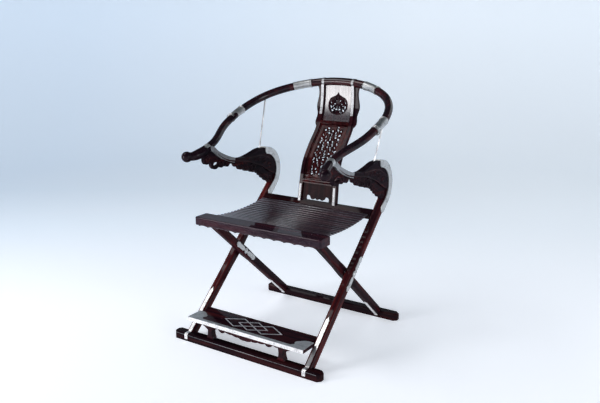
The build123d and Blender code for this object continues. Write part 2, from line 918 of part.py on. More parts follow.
def leg_strip(place, along_from, side, length, x_centre):
    """Pointed strip on the upper or lower face of a leg, pointing up the leg."""
    start = place(along_from, side * leg_depth / 2)
    ahead = place(along_from + length, side * leg_depth / 2)
    outward = place(along_from, side * leg_depth)
    x_dir = Vector(0, ahead[0] - start[0], ahead[1] - start[1])
    z_dir = Vector(0, outward[0] - start[0], outward[1] - start[1])
    plane = Plane(origin=(x_centre, start[0], start[1]), x_dir=x_dir, z_dir=z_dir)
    return plane * pointed_strip(length, strap_width, strap_thickness)


def front_strap(leg, bar):
    """Strip up the front of a front leg, carried over the bar and down its front face."""
    side = leg_depth / 2
    along = -(pivot_z - floor_bar_height) / math.sin(front_leg_angle) - side / math.tan(front_leg_angle)
    strip = leg_strip(on_front_leg, along, 1, front_strap_reach, front_leg_x)
    bar_front = front_bar_y - floor_bar_width / 2
    foot_y = on_front_leg(along, side)[0]
    half = strap_width / 2
    x_range = (front_leg_x - half, front_leg_x + half)
    over = slab(
        x_range,
        (bar_front - strap_thickness, foot_y + strap_thickness),
        (strap_foot_z, floor_bar_height + strap_thickness),
    )
    front_edges = over.edges().filter_by(Axis.X).sort_by(Axis.Y)[0:2]
    over = chamfer(front_edges.sort_by(Axis.Z)[-1], floor_bar_chamfer)
    strap = (strip + over) - leg - bar
    return strap.solids().sort_by(SortBy.VOLUME)[-1]


def rear_strap(leg, bar):
    side = leg_depth / 2
    bar_front = rear_bar_y - floor_bar_width / 2
    along = -(bar_front - pivot_y) / math.cos(rear_leg_angle) - side * math.tan(rear_leg_angle)
    strip = leg_strip(on_rear_leg, along, -1, rear_strap_reach, rear_leg_x)
    half = strap_width / 2
    x_range = (rear_leg_x - half, rear_leg_x + half)
    foot_z = on_rear_leg(along, -side)[1]
    over = slab(x_range, (bar_front - strap_thickness, bar_front), (strap_foot_z, foot_z + strap_thickness))
    strap = (strip + over) - leg - bar
    return strap.solids().sort_by(SortBy.VOLUME)[-1]


def seat_height(y):
    """Height of the sagging seat's middle layer at a depth."""
    share = (y - seat_front_y) / (seat_rear_y - seat_front_y)
    return seat_front_z + (seat_rear_z - seat_front_z) * share - 4 * seat_sag * share * (1 - share)


def seat_slope(y):
    share = (y - seat_front_y) / (seat_rear_y - seat_front_y)
    return (seat_rear_z - seat_front_z - 4 * seat_sag * (1 - 2 * share)) / (seat_rear_y - seat_front_y)


def slat(index):
    y = seat_front_y + (seat_rear_y - seat_front_y) * index / (slat_count - 1)
    z = seat_height(y)
    tilt = math.degrees(math.atan(seat_slope(y)))
    bar = Box(slat_length, slat_width, slat_thickness)
    bar = chamfer(bar.edges().filter_by(Axis.X), slat_chamfer)
    hole = Rot(90, 0, 0) * Cylinder(cord_hole_diameter / 2, slat_width * 2)
    for share in cord_place_shares:
        bar -= Pos(share * slat_length / 2, 0, 0) * hole
    return Pos(0, y, z) * Rot(tilt, 0, 0) * bar


def seat_cord(x, front_rail, rear_rail):
    """Cord through the slats' holes, from rail to rail."""
    start = front_rail_y
    end = on_front_leg(rear_rail_along, 0)[0]
    points = []
    for index in range(slat_count + 1):
        y = start + (end - start) * index / slat_count
        points.append((y, seat_height(y)))
    tangents = [(1, seat_slope(start)), (1, seat_slope(end))]
    path = Pos(x, 0, 0) * (Plane.YZ * Spline(*points, tangents=tangents))
    section = Plane(origin=path @ 0, z_dir=path % 0) * Circle(cord_diameter / 2)
    cord = sweep(section, path=path) - front_rail - rear_rail
    return cord.solids().sort_by(SortBy.VOLUME)[-1]


def footrest_board():
    low = footrest_top_z - footrest_thickness
    height = (low, footrest_top_z)
    board = slab((-footrest_wide, footrest_wide), (footrest_front_y, footrest_step_y), height)
    return board + slab((-footrest_narrow, footrest_narrow), (footrest_step_y, footrest_rear_y), height)


def footrest_pin():
    outer = front_leg_x - leg_width / 2 + footrest_pin_depth - running_gap
    length = outer - footrest_narrow
    pin = Rot(0, 90, 0) * Cylinder(footrest_pin_diameter / 2, length)
    return Pos((footrest_narrow + outer) / 2, footrest_pin_y, footrest_pin_z) * pin


def footrest_foot():
    low = floor_bar_height + running_gap
    high = footrest_top_z - footrest_thickness
    front = footrest_front_y + foot_setback
    half = foot_width / 2
    waist = half * foot_waist_shares[0]
    waist_z = low + (high - low) * foot_waist_shares[1]
    outline = [
        Line((foot_x - half, low), (foot_x + half, low)),
        Spline((foot_x + half, low), (foot_x + waist, waist_z), (foot_x + half, high)),
        Line((foot_x + half, high), (foot_x - half, high)),
        Spline((foot_x - half, high), (foot_x - waist, waist_z), (foot_x - half, low)),
    ]
    return front_prism(outline, front, front + foot_depth)


def hanging_apron():
    """Cusped apron between the feet."""
    high = footrest_top_z - footrest_thickness
    half = foot_x - foot_width / 2
    front = footrest_front_y + hanging_apron_setback
    left = [(half * a, high - hanging_apron_height * b) for a, b in hanging_apron_shares]
    points = left + [(-x, z) for x, z in reversed(left[:-1])]
    edges = []
    for a, b in zip(points, points[1:]):
        sag = hanging_apron_bulge_share * hanging_apron_height
        edges.append(ThreePointArc(a, ((a[0] + b[0]) / 2, (a[1] + b[1]) / 2 - sag), b))
    edges.append(Line(points[-1], (half, high)))
    edges.append(Line((half, high), (-half, high)))
    edges.append(Line((-half, high), points[0]))
    return front_prism(edges, front, front + hanging_apron_thickness)


def ear_bracket():
    """Arched bracket outside a foot."""
    high = footrest_top_z - footrest_thickness
    inner = foot_x + foot_width / 2
    outer = footrest_wide - ear_inset
    span = outer - inner
    front = footrest_front_y + hanging_apron_setback
    (dip, dip_drop), (cusp, cusp_drop), (arch, arch_drop) = ear_shares
    cusp_point = (outer - span * cusp, high - ear_drop * cusp_drop)
    dip_point = (outer - span * dip, high - ear_drop * dip_drop)
    arch_point = (outer - span * arch, high - ear_drop * arch_drop)
    edges = [
        Line((inner, high), (outer, high)),
        ThreePointArc((outer, high), dip_point, cusp_point),
        ThreePointArc(cusp_point, arch_point, (inner, high - ear_drop)),
        Line((inner, high - ear_drop), (inner, high)),
    ]
    return front_prism(edges, front, front + hanging_apron_thickness)


def edge_band():
    low = footrest_top_z - footrest_thickness
    high = footrest_top_z + end_plate_thickness
    front = footrest_front_y - edge_band_thickness
    return slab((-footrest_wide, footrest_wide), (front, footrest_front_y), (low, high))


def end_plate():
    """Plate on the end of the board, with a cloud-shaped inner edge."""
    front = footrest_front_y
    depth = footrest_step_y - front
    points = [(footrest_wide - end_plate_length * a, front + depth * b) for a, b in end_plate_shares]
    edges = [Line((footrest_wide, front), (footrest_wide, footrest_step_y))]
    edges.append(Line((footrest_wide, footrest_step_y), points[0]))
    for index in range(0, len(points) - 1, 2):
        edges.append(ThreePointArc(*points[index : index + 3]))
    edges.append(Line(points[-1], (footrest_wide, front)))
    return Pos(0, 0, footrest_top_z) * extrude(make_face(edges), amount=end_plate_thickness)


def lozenge(x, half_x, half_y):
    corners = [(x - half_x, inlay_y), (x, inlay_y - half_y), (x + half_x, inlay_y), (x, inlay_y + half_y)]
    return make_face(polygon(corners))


def inlay():
    """Three overlapping lozenges let in as metal lines."""
    keep = 1 - inlay_width / inlay_half_depth
    shapes = None
    for x in (-inlay_spacing, 0, inlay_spacing):
        ring = lozenge(x, inlay_half_length, inlay_half_depth)
        ring -= lozenge(x, inlay_half_length * keep, inlay_half_depth * keep)
        shapes = ring if shapes is None else shapes + ring
    return Pos(0, 0, footrest_top_z) * extrude(shapes, amount=end_plate_thickness)


front_bar = floor_bar(front_bar_y, front_bar_length)
rear_bar = floor_bar(rear_bar_y, rear_bar_length)
left_front_leg = front_leg()
left_rear_leg = rear_leg()
seat_rail = front_seat_rail()
back_rail = rear_seat_rail()
centre_crest = crest_centre(0)
side_crest = crest_side(0)
end_crest = crest_end()
crest_clear = crest_centre(seat_gap)
side_clear = crest_side(seat_gap)
end_clear = crest_arm(seat_gap)
left_bracket = arm_bracket(left_front_leg, end_clear)
left_strip = arm_strip(left_bracket, end_clear)

save(front_bar, "front_floor_bar")
save(rear_bar, "rear_floor_bar")
save(left_front_leg, "front_leg_left")
save(mirrored(left_front_leg), "front_leg_right")
save(left_rear_leg, "rear_leg_left")
save(mirrored(left_rear_leg), "rear_leg_right")
save(seat_rail, "front_seat_rail")
save(back_rail, "rear_seat_rail")
save(centre_crest, "crest_rail_centre")
save(side_crest, "crest_rail_side_left")
save(mirrored(side_crest), "crest_rail_side_right")
save(end_crest, "crest_rail_end_left")
save(mirrored(end_crest), "crest_rail_end_right")
back_sleeve = sleeve(crest_joint_share, [centre_crest, side_crest])
arm_sleeve = sleeve(crest_side_joint_share, [side_crest, end_crest])
save(both(group([back_sleeve, arm_sleeve])), "crest_rail_sleeves")
save(left_bracket, "arm_bracket_left")
save(mirrored(left_bracket), "arm_bracket_right")
save(both(left_strip), "arm_bracket_strips")
save(both(neck_band(left_front_leg, left_bracket, back_rail)), "neck_bands")
save(both(arm_rod(left_bracket, side_clear)), "arm_rods")

left_stile = stile(crest_clear, back_rail)
save(left_stile, "splat_stile_left")
save(mirrored(left_stile), "splat_stile_right")
save(splat_rail(upper_rail_z, upper_rail_height), "splat_upper_rail")
save(splat_rail(lower_rail_z, lower_rail_height), "splat_lower_rail")
upper_panel = top_panel(crest_clear)
save(upper_panel, "splat_top_panel")
save(medallion(), "splat_medallion")
save(middle_panel(), "splat_middle_panel")
save(apron_panel(back_rail), "splat_apron")
left_flange = flange(crest_clear)
save(both(left_flange), "splat_flanges")
strap = splat_strap(crest_clear, [left_stile, upper_panel, left_flange])
save(both(group([strap, splat_shoe()])), "splat_straps")

save(both(front_strap(left_front_leg, front_bar)), "front_leg_straps")
save(both(rear_strap(left_rear_leg, rear_bar)), "rear_leg_straps")
save(both(pivot_pin()), "pivot_pins")
save(both(pivot_washer()), "pivot_washers")
outer_plate = pivot_plate(on_front_leg, front_leg_x + leg_width / 2, pin_diameter / 2)
inner_plate_x = rear_leg_x - leg_width / 2 - plate_thickness
inner_plate = pivot_plate(on_rear_leg, inner_plate_x, pin_diameter / 2 + pin_play)
save(both(outer_plate), "pivot_plates_outer")
save(both(inner_plate), "pivot_plates_inner")

for index in range(slat_count):
    save(slat(index), f"seat_slat_{index + 1:02d}")
cords = [seat_cord(share * slat_length / 2, seat_rail, back_rail) for share in cord_place_shares]
save(group(cords), "seat_cords")

board = footrest_board()
save(board, "footrest_board")
save(both(footrest_pin()), "footrest_pins")
save(both(footrest_foot()), "footrest_feet")
save(hanging_apron(), "footrest_apron")
save(both(ear_bracket()), "footrest_brackets")
save(edge_band(), "footrest_edge_band")
save(both(end_plate()), "footrest_end_plates")
save(inlay(), "footrest_inlay")
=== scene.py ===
import bpy
import bmesh
import math
import numpy as np
from mathutils import Vector, Matrix
from mathutils.bvhtree import BVHTree


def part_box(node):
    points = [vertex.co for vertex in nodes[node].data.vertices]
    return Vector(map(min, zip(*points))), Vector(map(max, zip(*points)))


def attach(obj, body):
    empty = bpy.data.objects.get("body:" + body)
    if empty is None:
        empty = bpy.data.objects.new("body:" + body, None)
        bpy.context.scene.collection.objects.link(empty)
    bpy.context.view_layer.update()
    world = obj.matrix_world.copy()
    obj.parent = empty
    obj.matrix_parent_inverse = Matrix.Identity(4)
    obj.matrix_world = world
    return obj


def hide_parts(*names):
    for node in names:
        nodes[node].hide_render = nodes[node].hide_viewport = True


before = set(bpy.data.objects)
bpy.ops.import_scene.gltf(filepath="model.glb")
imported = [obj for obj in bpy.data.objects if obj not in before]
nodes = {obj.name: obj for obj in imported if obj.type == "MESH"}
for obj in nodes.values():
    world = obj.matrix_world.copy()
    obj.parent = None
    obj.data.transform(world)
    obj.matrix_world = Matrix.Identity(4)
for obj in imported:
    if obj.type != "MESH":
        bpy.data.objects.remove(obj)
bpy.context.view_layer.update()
quarter = math.pi / 2


# Camera and light

def look_from(location, target, roll):
    """Pose of a camera or lamp at one point that faces another; roll is in degrees."""
    back = (Vector(location) - Vector(target)).normalized()
    right = Vector((0, 0, 1)).cross(back).normalized()
    up = back.cross(right)
    base = Matrix((right, up, back)).transposed()
    turned = Matrix.Rotation(math.radians(roll), 3, back) @ base
    pose = turned.to_4x4()
    pose.translation = Vector(location)
    return pose


camera_data = bpy.data.cameras.new("camera")
camera_data.sensor_width = 36
camera_data.lens = 41.64
camera_data.clip_end = 60
camera = bpy.data.objects.new("camera", camera_data)
camera.matrix_world = look_from((1.532, -2.304, 1.2375), (0, 0.041, 0.5404), 0.12)
bpy.context.scene.collection.objects.link(camera)
bpy.context.scene.camera = camera
bpy.context.scene.view_settings.view_transform = "Standard"


def area_light(name, location, target, size, power, colour):
    data = bpy.data.lights.new(name, "AREA")
    data.shape = "RECTANGLE"
    data.size = size[0]
    data.size_y = size[1]
    data.energy = power
    data.color = colour
    light = bpy.data.objects.new(name, data)
    light.matrix_world = look_from(location, target, 0)
    bpy.context.scene.collection.objects.link(light)


area_light("overhead", (-1.8, -1.1, 3.3), (0, 0, 0.4), (1.4, 1.4), 41, (1.0, 0.99, 0.99))
area_light("low_key", (-2.05, -3.2, 0.84), (0, 0, 0.90), (1.1, 1.34), 80, (1.0, 0.98, 0.99))
area_light("side_fill", (3.6, -0.6, 1.7), (0, 0, 0.5), (1.0, 1.8), 26, (0.95, 0.98, 1.0))
area_light("behind", (0.9, 3.4, 2.6), (0, 0, 0.8), (2.2, 1.0), 14, (0.95, 0.98, 1.0))

world = bpy.data.worlds.new("studio")
bpy.context.scene.world = world
world.use_nodes = True
background = world.node_tree.nodes["Background"]
background.inputs["Color"].default_value = (0.62, 0.76, 0.90, 1)
background.inputs["Strength"].default_value = 0.12


# Materials

class Nodes:
    """Short calls that add shader nodes to a new material."""

    def __init__(self, name):
        self.material = bpy.data.materials.new(name)
        self.material.use_nodes = True
        self.tree = self.material.node_tree
        self.shader = self.tree.nodes["Principled BSDF"]

    def add(self, kind, **settings):
        node = self.tree.nodes.new(kind)
        for key, value in settings.items():
            setattr(node, key, value)
        return node

    def link(self, source, target):
        self.tree.links.new(source, target)

    def value(self, socket, number):
        self.shader.inputs[socket].default_value = number

    def ramp(self, source, stops):
        node = self.add("ShaderNodeValToRGB")
        elements = node.color_ramp.elements
        while len(elements) < len(stops):
            elements.new(0.5)
        for element, (place, colour) in zip(elements, stops):
            element.position = place
            element.color = (*colour, 1)
        self.link(source, node.inputs["Fac"])
        return node.outputs["Color"]

    def noise(self, vector, scale, detail, roughness=0.55):
        node = self.add("ShaderNodeTexNoise")
        node.inputs["Scale"].default_value = scale
        node.inputs["Detail"].default_value = detail
        node.inputs["Roughness"].default_value = roughness
        self.link(vector, node.inputs["Vector"])
        return node.outputs["Fac"]

    def mapped(self, rotation, scale):
        place = self.add("ShaderNodeTexCoord")
        turn = self.add("ShaderNodeMapping")
        turn.inputs["Rotation"].default_value = rotation
        stretch = self.add("ShaderNodeMapping")
        stretch.inputs["Scale"].default_value = scale
        self.link(place.outputs["Object"], turn.inputs["Vector"])
        self.link(turn.outputs["Vector"], stretch.inputs["Vector"])
        return stretch.outputs["Vector"]

    def spread(self, source, low, high):
        node = self.add("ShaderNodeMapRange")
        node.inputs["To Min"].default_value = low
        node.inputs["To Max"].default_value = high
        self.link(source, node.inputs["Value"])
        return node.outputs["Result"]

    def graded(self, source, low, high):
        """0 to 1 while the source goes from low to high."""
        node = self.add("ShaderNodeMapRange")
        node.inputs["From Min"].default_value = low
        node.inputs["From Max"].default_value = high
        self.link(source, node.inputs["Value"])
        return node.outputs["Result"]

    def bump(self, height, strength, distance, normal=None):
        node = self.add("ShaderNodeBump")
        node.inputs["Strength"].default_value = strength
        node.inputs["Distance"].default_value = distance
        self.link(height, node.inputs["Height"])
        if normal is not None:
            self.link(normal, node.inputs["Normal"])
        return node.outputs["Normal"]

    def finish(self, normal):
        self.link(normal, self.shader.inputs["Normal"])


# Wood stops shared by most pieces. The blue in deep and brown is painted reflection of the pale blue backdrop
# in the lacquer, laid over the wood's own dark wine-brown.
deep = (0.0056, 0.0034, 0.0064)
brown = (0.0175, 0.0052, 0.0084)
red = (0.064, 0.0105, 0.0115)


def wood(name, rotation, dark=deep, mid=brown, light=red, gloss=0.30, coat=0.20, level=0.0, grain=1.0):
    """Dark lacquered hardwood whose grain runs along local x after the given turn."""
    m = Nodes(name)
    streak = m.noise(m.mapped(rotation, (2.2, 55, 55)), 1.0, 7, 0.62)
    pores = m.noise(m.mapped(rotation, (9, 420, 420)), 1.0, 4, 0.6)
    cloud = m.noise(m.mapped((0, 0, 0), (6, 6, 6)), 1.0, 3)
    mix = m.add("ShaderNodeMath", operation="MULTIPLY_ADD")
    m.link(cloud, mix.inputs[0])
    mix.inputs[1].default_value = 0.5
    m.link(streak, mix.inputs[2])
    colour = m.ramp(mix.outputs[0], [(0.50, dark), (0.74, mid), (0.98, light)])
    m.link(colour, m.shader.inputs["Base Color"])
    m.link(m.spread(pores, gloss - 0.06, gloss + 0.12), m.shader.inputs["Roughness"])
    m.value("Coat Weight", coat)
    m.value("Coat Roughness", 0.05)
    m.value("IOR", 1.5)
    m.value("Specular IOR Level", level)
    m.finish(m.bump(pores, 0.2 * grain, 0.00025, m.bump(streak, 0.22 * grain, 0.0005)))
    return m.material


def silver(name, low, high, gloss):
    """Pale satin metal with chased curls and a little tarnish in the hollows."""
    m = Nodes(name)
    place = m.mapped((0, 0, 0), (1, 1, 1))
    curls = m.add("ShaderNodeTexWave", wave_type="RINGS", rings_direction="SPHERICAL")
    curls.inputs["Scale"].default_value = 46
    curls.inputs["Distortion"].default_value = 11
    curls.inputs["Detail"].default_value = 2
    curls.inputs["Detail Scale"].default_value = 1.6
    m.link(place, curls.inputs["Vector"])
    tarnish = m.noise(place, 38, 6)
    scratches = m.noise(m.mapped((0.2, 0.5, 0.1), (30, 900, 900)), 1.0, 3)
    shade = m.add("ShaderNodeMath", operation="MULTIPLY_ADD")
    m.link(curls.outputs["Fac"], shade.inputs[0])
    shade.inputs[1].default_value = 0.22
    m.link(tarnish, shade.inputs[2])
    m.link(m.ramp(shade.outputs[0], [(0.32, low), (0.6, high)]), m.shader.inputs["Base Color"])
    m.value("Metallic", 1.0)
    m.link(m.spread(tarnish, gloss, gloss + 0.2), m.shader.inputs["Roughness"])
    m.finish(m.bump(scratches, 0.12, 0.0001, m.bump(curls.outputs["Fac"], 0.4, 0.0004)))
    return m.material


def twisted_cord(name):
    """Dark fibre with fine slanting strands."""
    m = Nodes(name)
    strands = m.noise(m.mapped((0, 0, 0.6), (1, 900, 900)), 1.0, 2)
    colour = m.ramp(strands, [(0.3, (0.012, 0.008, 0.006)), (0.7, (0.06, 0.035, 0.024))])
    m.link(colour, m.shader.inputs["Base Color"])
    m.value("Roughness", 0.85)
    m.finish(m.bump(strands, 0.5, 0.0005))
    return m.material


leg_slope = math.radians(43)
grain_x, grain_y, grain_z = (0, 0, 0), (0, 0, -quarter), (0, quarter, 0)
along_x = wood("wood_along_x", grain_x)
along_y = wood("wood_along_y", grain_y)
along_z = wood("wood_along_z", grain_z, coat=0.12)
panel_wood = wood(
    "wood_panel", grain_z, (0.0080, 0.0026, 0.0038), (0.028, 0.0052, 0.0064), (0.078, 0.0115, 0.0115),
    coat=0.12)
front_leg_wood = wood(
    "wood_front_leg", (-leg_slope, 0, -quarter),
    (0.0070, 0.0034, 0.0060), (0.030, 0.0062, 0.0085), (0.115, 0.013, 0.012), gloss=0.26)
rear_leg_wood = wood("wood_rear_leg", (leg_slope, 0, -quarter), coat=0.13)
medallion_wood = wood("wood_medallion", grain_z, gloss=0.4, coat=0.06)
# Slat wood: its lighter, more lavender stops are partly the wood's tone and partly painted sheen, the
# lavender shine and pale lines of reflected light along the seat.
slat_wood = wood(
    "wood_slat", grain_x, (0.0130, 0.0072, 0.0135), (0.032, 0.0140, 0.0225), (0.060, 0.022, 0.030),
    gloss=0.26, coat=0.65, level=0.45, grain=0.08)
# One satin metal in several copies: bright_metal is a lit copy that paints the lamps' glare on the leg
# straps, footrest edge, inlay and rods, and dark_metal is a shaded copy that paints dimmer reflection on the
# bracket strips, splat straps and bar wire.
metal = silver("pale_metal", (0.27, 0.27, 0.268), (0.54, 0.545, 0.545), 0.32)
bright_metal = silver("bright_metal", (0.52, 0.51, 0.505), (0.86, 0.85, 0.85), 0.30)
rivet_metal = silver("rivet_metal", (0.24, 0.24, 0.235), (0.50, 0.50, 0.495), 0.26)
dark_metal = silver("dark_metal", (0.10, 0.102, 0.105), (0.30, 0.305, 0.315), 0.36)
cord_material = twisted_cord("seat_cord")
# Top panel wood: its lavender stops paint the lavender tint of the light that the panel reflects.
top_panel_wood = wood(
    "wood_top_panel", grain_z, (0.010, 0.0064, 0.0120), (0.022, 0.0110, 0.0190), (0.060, 0.016, 0.018),
    gloss=0.25, coat=0.0, level=1.0, grain=0.3)
crest_wood_x = wood("wood_crest_middle", grain_x, coat=0.5, grain=0.5)
crest_wood_y = wood(
    "wood_crest_side", grain_y, deep, (0.0130, 0.0052, 0.0090), (0.050, 0.0100, 0.0120), coat=0.5, grain=0.5)
grip_wood = wood(
    "wood_grip", grain_y, deep, (0.0130, 0.0052, 0.0090), (0.040, 0.0090, 0.0115), coat=0.22, grain=0.4)
# Seat rail wood: its purple stops are partly the wood's tone and partly painted sheen, the lavender shine on
# the rail's front and top.
rail_wood = wood(
    "wood_seat_rail", grain_x, (0.0100, 0.0064, 0.0130), (0.027, 0.0115, 0.0200), (0.060, 0.0150, 0.0200),
    gloss=0.28, coat=0.30)
apron_wood = wood(
    "wood_apron", grain_z, deep, (0.0110, 0.0042, 0.0062), (0.030, 0.0075, 0.0085), gloss=0.55, coat=0.02)
# Carving wood: matt, its purple tint partly the wood's tone and partly painted sheen of the blue backdrop
# that its low gloss no longer reflects.
carved_wood = wood(
    "wood_carved", grain_y, (0.0075, 0.0056, 0.0088), (0.0135, 0.0075, 0.0110), (0.032, 0.0105, 0.0125),
    gloss=0.42, coat=0.07)
bar_wood = wood("wood_bar", grain_x, deep, (0.012, 0.0042, 0.0062), (0.040, 0.0080, 0.0085), coat=0.10)


def dress(names, material):
    """Gives CAD pieces one material."""
    for name in names:
        node = nodes[name]
        node.data.materials.clear()
        node.data.materials.append(material)


metal_nodes = [
    "arm_bracket_strips", "arm_rods", "crest_rail_sleeves", "neck_bands", "splat_straps", "front_leg_straps",
    "rear_leg_straps", "pivot_pins", "pivot_plates_inner", "pivot_plates_outer", "pivot_washers",
    "footrest_edge_band", "footrest_end_plates", "footrest_inlay", "footrest_pins",
]
dress(list(nodes), along_x)
dress(metal_nodes, metal)
dress([
    "front_leg_straps", "rear_leg_straps", "footrest_edge_band", "footrest_inlay", "arm_rods",
], bright_metal)
dress(["front_leg_left", "front_leg_right"], front_leg_wood)
dress(["rear_leg_left", "rear_leg_right"], rear_leg_wood)
dress([
    "crest_rail_end_left", "crest_rail_end_right", "crest_rail_side_left", "crest_rail_side_right",
], crest_wood_y)
dress(["crest_rail_centre"], crest_wood_x)
dress(["arm_bracket_left", "arm_bracket_right"], carved_wood)
dress(["arm_bracket_strips", "splat_straps"], dark_metal)
dress(["front_floor_bar", "rear_floor_bar"], bar_wood)
dress([name for name in nodes if name.startswith("splat_") and name != "splat_straps"], along_z)
dress(["splat_middle_panel", "splat_upper_rail", "splat_lower_rail"], panel_wood)
dress(["splat_top_panel"], top_panel_wood)
dress(["splat_apron"], apron_wood)
dress(["front_seat_rail"], rail_wood)
dress(["rear_seat_rail"], bar_wood)
dress([name for name in nodes if name.startswith("seat_slat")], slat_wood)
dress(["seat_cords"], cord_material)


# Pieces swept and set in mesh code

def piece(name, mesh_data, body, material):
    """Visible piece made of mesh code, which rides on a body and has one material."""
    mesh = bpy.data.meshes.new(name)
    bmesh.ops.recalc_face_normals(mesh_data, faces=mesh_data.faces[:])
    mesh_data.to_mesh(mesh)
    mesh_data.free()
    for face in mesh.polygons:
        face.use_smooth = True
    thing = bpy.data.objects.new(name, mesh)
    bpy.context.scene.collection.objects.link(thing)
    mesh.materials.append(material)
    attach(thing, body)
    return thing


def skin(bm, rings):
    """Faces between rings that have the same number of corners."""
    count = len(rings[0])
    for low, high in zip(rings, rings[1:]):
        for k in range(count):
            after = (k + 1) % count
            bm.faces.new((low[k], low[after], high[after], high[k]))


def sweep(bm, path, radii, sides=6, flat=1.0, across=None):
    """Tube along a path; radii gives one radius for each point, flat thins it along the vector across."""
    path = [Vector(point) for point in path]
    rings = []
    side = None
    for index, point in enumerate(path):
        ahead = path[min(index + 1, len(path) - 1)] - path[max(index - 1, 0)]
        ahead.normalize()
        if across is not None:
            side = Vector(across)
        elif side is None:
            side = ahead.orthogonal()
        side = (side - ahead * side.dot(ahead)).normalized()
        other = ahead.cross(side)
        ring = []
        for step in range(sides):
            turn = 2 * math.pi * step / sides
            reach = side * math.cos(turn) * flat + other * math.sin(turn)
            ring.append(bm.verts.new(point + reach * radii[index]))
        rings.append(ring)
    skin(bm, rings)
    bm.faces.new(list(reversed(rings[0])))
    bm.faces.new(rings[-1])


def crossbar(bm, x_low, x_high, y, z, radius, sides=8):
    """Thin round moulding straight across the chair."""
    sweep(bm, [(x_low, y, z), (0, y, z), (x_high, y, z)], [radius] * 3, sides)


def taper(count, thick, thin=0.35):
    """Radii that swell in the middle and thin toward both ends."""
    return [thick * (thin + (1 - thin) * math.sin(math.pi * (i + 0.5) / count) ** 0.6) for i in range(count)]


def curl(centre, radius, start, turns, hand, count=22, eye=0.16):
    """Flat spiral from its rim in to its eye, as pairs."""
    points = []
    for i in range(count):
        t = i / (count - 1)
        turn = start + hand * turns * 2 * math.pi * t
        reach = radius * (1 - (1 - eye) * t)
        points.append((centre[0] + reach * math.cos(turn), centre[1] + reach * math.sin(turn)))
    return points


def mirrored(turn, side):
    """Angle of a curl on the left (side 1), or of its mirror image on the right (side -1)."""
    return turn if side > 0 else math.pi - turn


def smooth_line(points, count):
    """Pairs or triples evenly along a soft curve through the given ones."""
    points = [Vector(point).to_3d() if len(point) == 3 else Vector((*point, 0)) for point in points]
    out = []
    for i in range(count):
        t = i / (count - 1) * (len(points) - 1)
        k = min(int(t), len(points) - 2)
        f = t - k
        a, b = points[max(k - 1, 0)], points[k]
        c, d = points[k + 1], points[min(k + 2, len(points) - 1)]
        curve = 2 * b + (c - a) * f + (2 * a - 5 * b + 4 * c - d) * f * f + (3 * b - a - 3 * c + d) * f**3
        out.append(0.5 * curve)
    return out


def dome(bm, point, normal, radius):
    """Low rivet head with a rounded rim, its foot sunk a little into the metal."""
    turn = Vector((0, 0, 1)).rotation_difference(Vector(normal)).to_matrix()
    profile = [(1.0, -0.25), (1.0, 0.12), (0.84, 0.36), (0.5, 0.54)]
    sides = 10
    rings = []
    for reach, rise in profile:
        ring = []
        for step in range(sides):
            angle = 2 * math.pi * step / sides
            local = Vector((reach * math.cos(angle), reach * math.sin(angle), rise)) * radius
            ring.append(bm.verts.new(Vector(point) + turn @ local))
        rings.append(ring)
    top = bm.verts.new(Vector(point) + turn @ Vector((0, 0, 0.6 * radius)))
    skin(bm, rings)
    for step in range(sides):
        bm.faces.new((rings[-1][step], rings[-1][(step + 1) % sides], top))


trees = {}


def struck(node, origin, direction):
    """Where a straight line first meets a CAD piece, and the surface's normal there."""
    if node not in trees:
        mesh = nodes[node].data
        faces = [list(face.vertices) for face in mesh.polygons]
        trees[node] = BVHTree.FromPolygons([v.co for v in mesh.vertices], faces)
    point, normal, _, _ = trees[node].ray_cast(Vector(origin), Vector(direction).normalized())
    if point is not None and normal.dot(Vector(direction)) > 0:
        normal = -normal
    return point, normal


def rivets(name, body, places, radius):
    """Rivet heads on CAD pieces, each found along a straight line toward its piece."""
    longest = 0.09
    bm = bmesh.new()
    for node, origin, direction in places:
        point, normal = struck(node, origin, direction)
        if point is not None and (point - Vector(origin)).length < longest:
            dome(bm, point, normal, radius)
    piece(name, bm, body, rivet_metal)


# Arm brackets: carved scrolls on both faces of the saddle and of its fringe

neck_top = (0.1829, 0.7251)
arm_x = 0.285
arm_span = 0.360
arm_depth = 0.150
# Seen from the side, in shares of the span forward and of the depth up from the neck's top
lobes = [
    (-0.136, -1.127), (-0.036, -1.034), (0.040, -0.925), (0.097, -0.821), (0.147, -0.747), (0.194, -0.627),
    (0.353, -0.561), (0.450, -0.461), (0.555, -0.381), (0.628, -0.247), (0.703, -0.234), (0.800, -0.201),
    (0.900, -0.227), (1.036, -0.141), (1.053, -0.061), (1.158, 0.060),
]
slotted_lobe = lobes[12]
slot_shares = (0.947, -0.154)
belly = [
    (0.966, 0.133), (0.869, -0.021), (0.758, -0.141), (0.619, -0.221), (0.480, -0.274), (0.369, -0.327),
    (0.230, -0.434), (0.091, -0.567), (-0.048, -0.754), (-0.150, -0.86),
]
# Curls on the saddle: forward and up from the neck's top, radius, start angle, hand
saddle_curls = (
    (0.022, -0.058, 0.0145, 2.4, 1), (-0.016, -0.080, 0.0135, 0.6, -1), (0.058, -0.048, 0.0115, 3.4, -1),
    (0.088, -0.042, 0.0085, 2.6, 1), (0.116, -0.037, 0.0070, 0.4, -1), (0.142, -0.034, 0.0055, 3.2, -1),
)
saddle_ridge = (
    (-0.030, -0.062), (-0.002, -0.046), (0.030, -0.034), (0.066, -0.030), (0.104, -0.0305), (0.145, -0.0285),
)


def on_arm(forward, up):
    """Side-view point, y and z, from shares of the arm's span and depth."""
    return (neck_top[0] - forward * arm_span, neck_top[1] + up * arm_depth)


